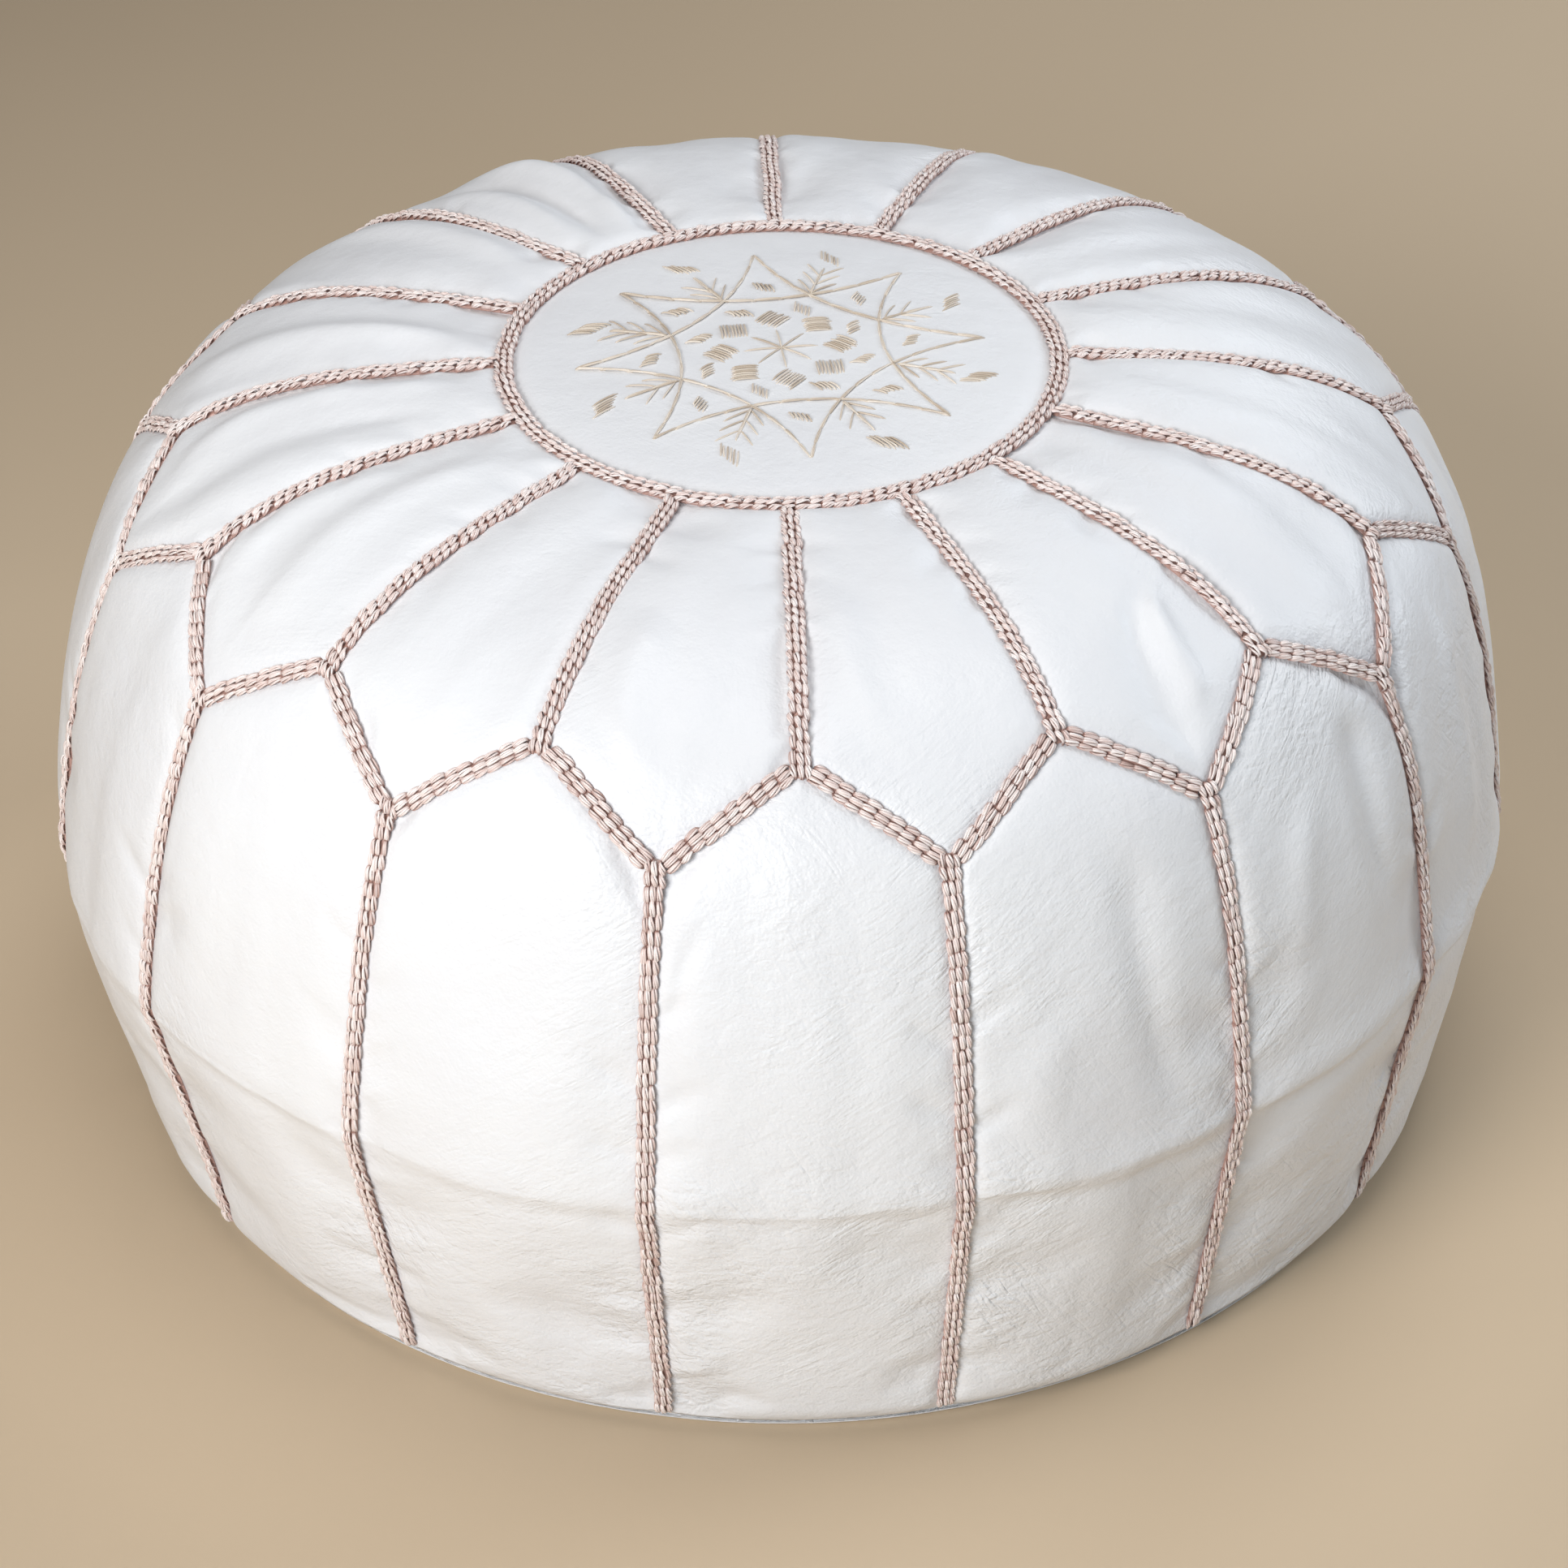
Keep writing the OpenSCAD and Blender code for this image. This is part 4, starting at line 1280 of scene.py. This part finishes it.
def make_coil(name, phase):
    """A spiral of filament, the teeth of one tape."""
    low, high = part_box(f"zipper_coil_{name}")
    pitch, wire = 1.4 * MM, 0.3 * MM
    turns = round((high.x - low.x - 2 * wire) / pitch)
    angle = np.linspace(0, 2 * math.pi * turns, turns * 10 + 1)
    half = (high.y - low.y) / 2 - wire
    outward = np.stack([
        0 * angle, half * np.cos(angle + phase), half * np.sin(angle + phase)
    ], axis=-1)
    line = outward + [0, (low.y + high.y) / 2, (low.z + high.z) / 2]
    line[:, 0] = low.x + wire + pitch * angle / (2 * math.pi)
    thickness = np.full((1, len(line)), wire)
    points, face_sets, _ = tubes(line[None], outward[None], thickness, sides=6)
    make_piece(f"spiral_coil_{name}", points, face_sets, COIL,
               node=f"zipper_coil_{name}")


def finish_metal():
    """The slider, pull and stops keep their CAD shapes, with softened edges and nickel."""
    for node in ("zipper_slider", "zipper_pull", "zipper_stops"):
        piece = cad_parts[node]
        piece.data.materials.clear()
        piece.data.materials.append(NICKEL)
        weld = piece.modifiers.new("Weld", "WELD")
        weld.merge_threshold = 0.01 * MM
        bevel = piece.modifiers.new("Bevel", "BEVEL")
        bevel.width = 0.18 * MM
        bevel.segments = 3
        bevel.limit_method = "ANGLE"
        bevel.angle_limit = math.radians(35)


# ---------------------------------------------------------------- the filling
BAG_FLOOR = 2.4 * MM
BAG_GROOVE = 9.4 * MM


def filling_shell(depth, floor, groove, lumps, columns=160):
    """A closed form inside the leather: the outline at a depth, and a floor with a groove."""
    azimuth = 2 * math.pi * np.arange(columns)[None] / columns
    above, below = np.linspace(0.002, S_BELLY, 60), np.linspace(S_BELLY, S_FOOT, 28)
    s = np.concatenate([above, below[1:]])[:, None]
    side = surface(azimuth, s + 0 * azimuth, -depth)
    normal = surface_normal(azimuth, s + 0 * azimuth)
    x, y, z = (side[..., k] for k in range(3))
    side = side - normal * (lumps * (1 + noise(x / 0.04, y / 0.04, z / 0.04)))[..., None]
    edge_r = BASE_R - 4 * MM - depth
    radius = np.concatenate([[edge_r + 2.5 * MM], np.linspace(edge_r, 1 * MM, 50)])[:, None]
    flat_x, flat_y = radius * np.cos(azimuth), radius * np.sin(azimuth)
    rise = floor + groove * mound(flat_x, flat_y, 4 * MM)
    rise[0] += 3 * MM
    grid = np.concatenate([side, np.stack([flat_x, flat_y, rise], axis=-1)])
    points = grid.reshape(-1, 3)
    faces = grid_faces(len(grid), columns, wrap=True)
    caps = np.array([np.arange(columns), len(points) - 1 - np.arange(columns)])
    return points, [faces, caps]


def make_filling():
    """A sewn calico bag with an inner and an outer face, and the fibre that fills it."""
    outer = filling_shell(4.2 * MM, BAG_FLOOR, BAG_GROOVE, 0.25 * MM)
    inner = filling_shell(5.0 * MM, BAG_FLOOR + 0.8 * MM, BAG_GROOVE, 0.25 * MM)
    inner = (inner[0], [faces[:, ::-1] for faces in inner[1]])
    points, face_sets = join_parts([outer, inner])
    bag = make_piece("calico_bag", points, face_sets, COTTON, node="cotton_bag")
    points, face_sets = filling_shell(6.4 * MM, BAG_FLOOR + 2.2 * MM, BAG_GROOVE, 2.2 * MM)
    fill = make_piece("fibre_filling", points, face_sets, FIBRE, node="stuffing")


# ---------------------------------------------------------------- the setting
def link(thing):
    bpy.context.scene.collection.objects.link(thing)


def make_floor():
    """A warm paper backdrop, with painted shade that darkens it towards the back left."""
    mesh = bpy.data.meshes.new("floor")
    half = 4.0
    corners = [(-half, -half, 0), (half, -half, 0), (half, half, 0), (-half, half, 0)]
    mesh.from_pydata(corners, [], [(0, 1, 2, 3)])
    floor = bpy.data.objects.new("floor", mesh)
    link(floor)
    material, tree, shader = new_material("paper backdrop", 0.85, specular=0.2)
    paper = patchy(tree, (0.565, 0.44, 0.305), (0.6, 0.47, 0.33), 1.5, 0.3, 0.7, Detail=3)
    # Painted shade: the paper darkens towards the back left, standing in for the light falling off
    # there.
    back_left = add_node(tree, "VectorMath", {
        0: add_node(tree, "TexCoord").outputs["Object"], 1: (-0.7, 0.7, 0),
    }, operation="DOT_PRODUCT")
    shade = remap(tree, back_left.outputs["Value"], 0.3, 1.2, 0, 0.42)
    fibres = pattern(tree, "noise", 500, Detail=2)
    finish_shader(tree, shader, mix_colours(tree, shade, paper, (0.2, 0.14, 0.09)),
                  [(fibres, 0.1, 0.3 * MM)])
    mesh.materials.append(material)


# A key and a cool fill at the front left, a top light, two weaker ones behind on the right,
# and two cool low ones against the warm light that the floor throws back
LIGHTS = [
    # name, place, size, power, colour
    ("key", (-1.1, -1.5, 1.3), 1.0, 26.5, (1, 0.98, 0.955)),
    ("front fill", (-0.9, -2.2, 1.1), 1.2, 19.5, (0.8, 0.915, 1)),
    ("top", (0, 0.2, 2.8), 1.6, 23, (1, 0.985, 0.965)),
    ("right", (2.1, 0.7, 1.3), 1.3, 22.5, (0.86, 0.93, 1)),
    ("back right", (1.2, 2.2, 1.8), 1.3, 17, (0.84, 0.92, 1)),
    ("low front", (0.7, -2.4, 0.35), 1.6, 5.5, (0.66, 0.84, 1)),
    ("low right", (2.2, -0.8, 0.4), 1.3, 2.5, (0.66, 0.84, 1)),
]
LIT = Vector((0, 0, 0.1))


def make_lights():
    """Round soft lights turned to the pouf, and a dim studio round them."""
    for name, place, size, power, colour in LIGHTS:
        light = bpy.data.lights.new(name, "AREA")
        light.shape = "DISK"
        light.size = size
        light.energy = power
        light.color = colour
        lamp = bpy.data.objects.new(name, light)
        lamp.location = place
        lamp.rotation_euler = (LIT - Vector(place)).to_track_quat("-Z", "Y").to_euler()
        link(lamp)
    world = bpy.data.worlds.new("studio")
    world.use_nodes = True
    background = world.node_tree.nodes["Background"]
    background.inputs["Color"].default_value = (0.9, 0.95, 1.0, 1)
    background.inputs["Strength"].default_value = 0.02
    bpy.context.scene.world = world
    bpy.context.scene.view_settings.view_transform = "Standard"


def make_camera():
    """Looks down on the front of the pouf from a standing person's height."""
    azimuth, elevation, roll = (math.radians(v) for v in (-1.4, 35.55, -0.36))
    distance = 1.692
    target = Vector((0, 0, 0.1028))
    back = Vector((
        math.sin(azimuth) * math.cos(elevation),
        -math.cos(azimuth) * math.cos(elevation),
        math.sin(elevation),
    ))
    right = (-back).cross(Vector((0, 0, 1))).normalized()
    up = right.cross(-back)
    turned_right = math.cos(roll) * right + math.sin(roll) * up
    turned_up = -math.sin(roll) * right + math.cos(roll) * up
    camera = bpy.data.cameras.new("camera")
    camera.sensor_width = 36
    camera.lens = 97.73
    holder = bpy.data.objects.new("camera", camera)
    turn = Matrix((turned_right, turned_up, back)).transposed()
    holder.matrix_world = Matrix.Translation(target + distance * back) @ turn.to_4x4()
    link(holder)
    bpy.context.scene.camera = holder


make_camera()
make_lights()
make_floor()
make_panels()
make_braids()
make_medallion()
make_embroidery()
make_welt()
make_base_half(-1, "base_leather_front", "base_front")
make_base_half(1, "base_leather_back", "base_back")
make_stitching()
for side_name, coil_phase in (("front", 0), ("back", math.pi)):
    make_tape(side_name)
    make_coil(side_name, coil_phase)
finish_metal()
make_filling()
